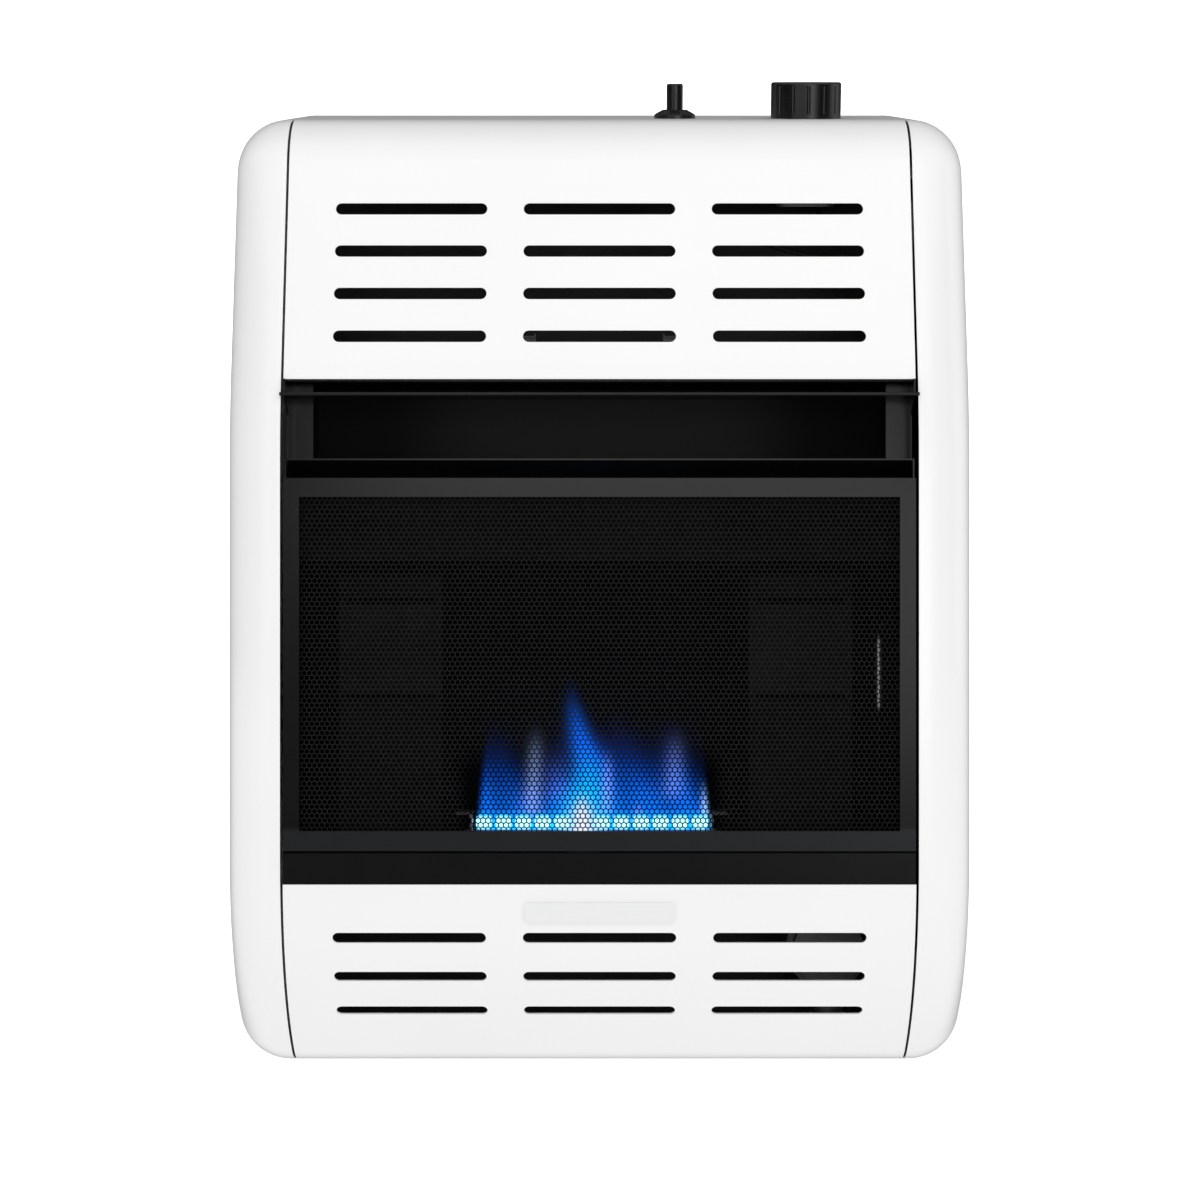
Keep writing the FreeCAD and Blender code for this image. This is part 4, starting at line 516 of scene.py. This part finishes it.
def port_flames():
    """Row of bright pillow-shaped flames on the ports.

    Each is a bulb: rings of a super-ellipse in X and Y whose size follows a low power of sin up its
    height.
    """
    count, pitch, middle = 12, 12.8, -5.0
    half_x, half_y, tall = 5.2, 3.0, 10.5
    turns = np.linspace(0, 2 * math.pi, 16, endpoint=False)
    rise = np.concatenate([[0.0], np.linspace(0.02, 0.98, 7), [1.0]])
    turn, level = np.meshgrid(turns, rise)
    swell = np.clip(np.sin(math.pi * level), 0, 1) ** 0.16 * (np.abs(level - 0.5) < 0.5)
    x = half_x * swell * np.sign(np.cos(turn)) * np.abs(np.cos(turn)) ** 0.35
    y = half_y * swell * np.sign(np.sin(turn)) * np.abs(np.sin(turn)) ** 0.35
    h = PORT_TOP_H - 0.4 + tall * level
    places = middle + (np.arange(count) - (count - 1) / 2) * pitch
    points = np.stack(np.broadcast_arrays(
        (x[None] + places[:, None, None]) * MM, BURNER_Y + y[None] * MM, up(h)[None]), axis=3)
    quads = np.arange(count)[:, None, None] * x.size + ring_quads(*x.shape)
    made = piece("port_flames", points, quads, glow("flame_port", 1.55))
    core = np.clip(1 - np.abs(2 * level - 0.9) ** 2, 0, 1)[None, ..., None]
    core = core * np.ones(points.shape[:3] + (1,))
    heat = core * (0.50, 1.00, 1.12) + (1 - core) * (0.02, 0.50, 1.0)
    paint(made, heat, np.clip(core[..., 0] + 0.45, 0, 1))


def pilot_flame():
    """White-lilac glow round the pilot: three upright sheets turned about one axis.

    Colour and cover at (reach, level) are a bell across the sheet that narrows with height, times a
    step.
    """
    foot, tall, spread = 140, 36, 20
    low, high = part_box("pilot_hood")
    x, y = (low[0] + high[0]) / 2, low[1] - 2 * MM
    turns = np.radians([0.0, 60.0, 120.0])[:, None, None]
    reach, level = np.meshgrid(np.linspace(-spread, spread, 41), np.linspace(0, 1, 21))
    wide = 12.0 * (1 - 0.55 * level)
    cover = bell(reach, 0, wide) * (1 - smooth(0.35, 1.0, level))
    cover = cover * smooth(spread, 0.7 * spread, np.abs(reach))
    points = np.stack(np.broadcast_arrays(
        x + reach * MM * np.cos(turns), y + reach * MM * np.sin(turns), up(foot + tall * level)),
        axis=3)
    quads = np.arange(3)[:, None, None] * reach.size + grid_quads(*reach.shape)
    made = piece("pilot_flame", points, quads, glow("flame_pilot", 1.1))
    pale = (0.3 + 0.7 * cover)[..., None]
    heat = pale * (0.84, 0.86, 1.05) + (1 - pale) * (0.06, 0.55, 1.0)
    shape = points.shape[:3]
    paint(made, np.broadcast_to(heat, shape + (3,)), np.broadcast_to(0.92 * cover, shape))


fine_net()
pushed_spring("igniter_coil", "igniter_spring", "igniter_push")
pushed_spring("valve_coil", "valve_spring", "knob_push")
flame_sheet()
port_flames()
pilot_flame()


# Stage, light and camera

FRONT_LIGHT = 0.775
REAR_LIGHT = 0.12
FLOOR_GLOW = 0.8
FLAG_REACH = 1.1
CAMERA_LENS = 73.53
CAMERA_REACH = 1.5
CAMERA_X = 0.0003
CAMERA_H = 295.5
# Softboxes: name, place, aim, size and power
SOFTBOXES = (
    ("key", (0.30, -2.20, 1.15), (0.10, -0.10, 0.15), (1.7, 1.1), 5.0),
    ("strip", (0.04, -2.25, 0.04), (0.04, -0.2, 0.04), (0.86, 0.34), 2.8),
    ("side", (0.72, -2.25, -0.20), (0.72, -0.2, -0.20), (0.80, 0.42), 3.0),
)
REAR_SOFTBOX = ("rear", (0.30, 2.20, 0.50), (0.0, 0.0, -0.15), (1.4, 1.4), 14.0)


def backdrop():
    """Pale floor that sweeps up all round.

    A flat disc, a quarter circle and a straight wall, turned about Z. Only the camera sees it.
    """
    bend = np.linspace(0, math.pi / 2, 24)
    radius = np.concatenate([[0.0], 6.0 + 2.0 * np.sin(bend), [8.0]])
    z = np.concatenate([[0.0], 2.0 - 2.0 * np.cos(bend), [9.0]]) + BASE_Z - 0.0005
    turn = np.linspace(0, 2 * math.pi, 97)
    points = np.stack(np.broadcast_arrays(
        radius[:, None] * np.sin(turn), radius[:, None] * np.cos(turn), z[:, None]), axis=2)
    pale = finish("studio_floor", grey(0.88), grey(0.90), lambda p: noise(p, 3.0), 0.9, 0.04,
                  (lambda p: noise(p, 200.0), 0.000020), specular=0.0)
    shader = pale.node_tree.nodes["Principled BSDF"]
    shader.inputs["Emission Color"].default_value = (1.0, 1.0, 1.0, 1.0)
    shader.inputs["Emission Strength"].default_value = FLOOR_GLOW
    made = surface("studio_floor", points, grid_quads(len(z), len(turn)), pale)
    made.visible_diffuse = False
    made.visible_glossy = False
    made.visible_shadow = False


def flag(name, first, last):
    """Black card that only reflections see: part of an upright cylinder, from one turn to another."""
    turn, z = np.meshgrid(np.radians(np.linspace(first, last, 25)), np.linspace(-0.25, 0.50, 2))
    points = np.stack([FLAG_REACH * np.sin(turn), -0.1 - FLAG_REACH * np.cos(turn), z], axis=2)
    made = surface(name, points, grid_quads(*turn.shape), MATERIALS["lead_sleeve"])
    made.visible_camera = False
    made.visible_diffuse = False
    made.visible_transmission = False
    made.visible_shadow = False


def softbox(name, place, aim, size, power):
    """Rectangular area light at a place, pointing at aim."""
    data = bpy.data.lights.new(name, "AREA")
    data.shape = "RECTANGLE"
    data.size, data.size_y = size
    data.energy = power
    made = put(name, data)
    made.location = place
    way = np.array(aim) - np.array(place)
    pitch = math.atan2(math.hypot(way[0], way[1]), -way[2])
    made.rotation_euler = (pitch, 0.0, math.atan2(-way[0], way[1]))
    return made


def surround(way):
    """Brightness of the surround in a direction.

    Dim behind, overhead and about the camera; brighter above and below the front and to both sides.
    """
    across, ahead, height = axis(way, "X"), 0.0 - axis(way, "Y"), axis(way, "Z")
    light = REAR_LIGHT + (FRONT_LIGHT - REAR_LIGHT) * ramp(ahead, -0.85, -0.35)
    light = light * (1.0 - 0.75 * ramp(ahead, 0.90, 0.985))
    light = light * (1.0 + 0.5 * ramp(height, 0.2, 0.55) * ramp(ahead, 0.1, 0.5))
    light = light * (1.0 + 0.25 * ramp(across, 0.4, 0.95))
    light = light * (1.0 + 0.16 * ramp(0.0 - across, 0.1, 0.6))
    light = light * (1.0 - 0.65 * ramp(height - ahead, 0.4, 1.0))
    return light * (1.0 + 0.35 * ramp(0.0 - height, 0.2, 0.9))


def studio():
    """Soft white surround with softboxes above, before the guard, to the right and behind."""
    scene = bpy.context.scene
    world = bpy.data.worlds.new("studio")
    world.use_nodes = True
    tree = world.node_tree
    way = Field(tree, tree.nodes.new("ShaderNodeTexCoord").outputs["Generated"])
    light = surround(way)
    light.fill(tree.nodes["Background"].inputs["Strength"], light)
    tree.nodes["Background"].inputs["Color"].default_value = (1.0, 1.0, 1.0, 1.0)
    scene.world = world
    scene.view_settings.view_transform = "Standard"
    for box in SOFTBOXES:
        softbox(*box)
    softbox(*REAR_SOFTBOX).visible_glossy = False


def photo_camera():
    """Straight, level front view from a set distance before the front plane."""
    data = bpy.data.cameras.new("camera")
    data.sensor_width = 36.0
    data.lens = CAMERA_LENS
    made = put("camera", data)
    made.location = (CAMERA_X, FRONT_Y - CAMERA_REACH, float(up(CAMERA_H)))
    made.rotation_euler = (math.pi / 2, 0.0, 0.0)
    bpy.context.scene.camera = made


backdrop()
flag("left_flag", -125.0, -42.0)
flag("right_flag", 40.0, 82.0)
studio()
photo_camera()
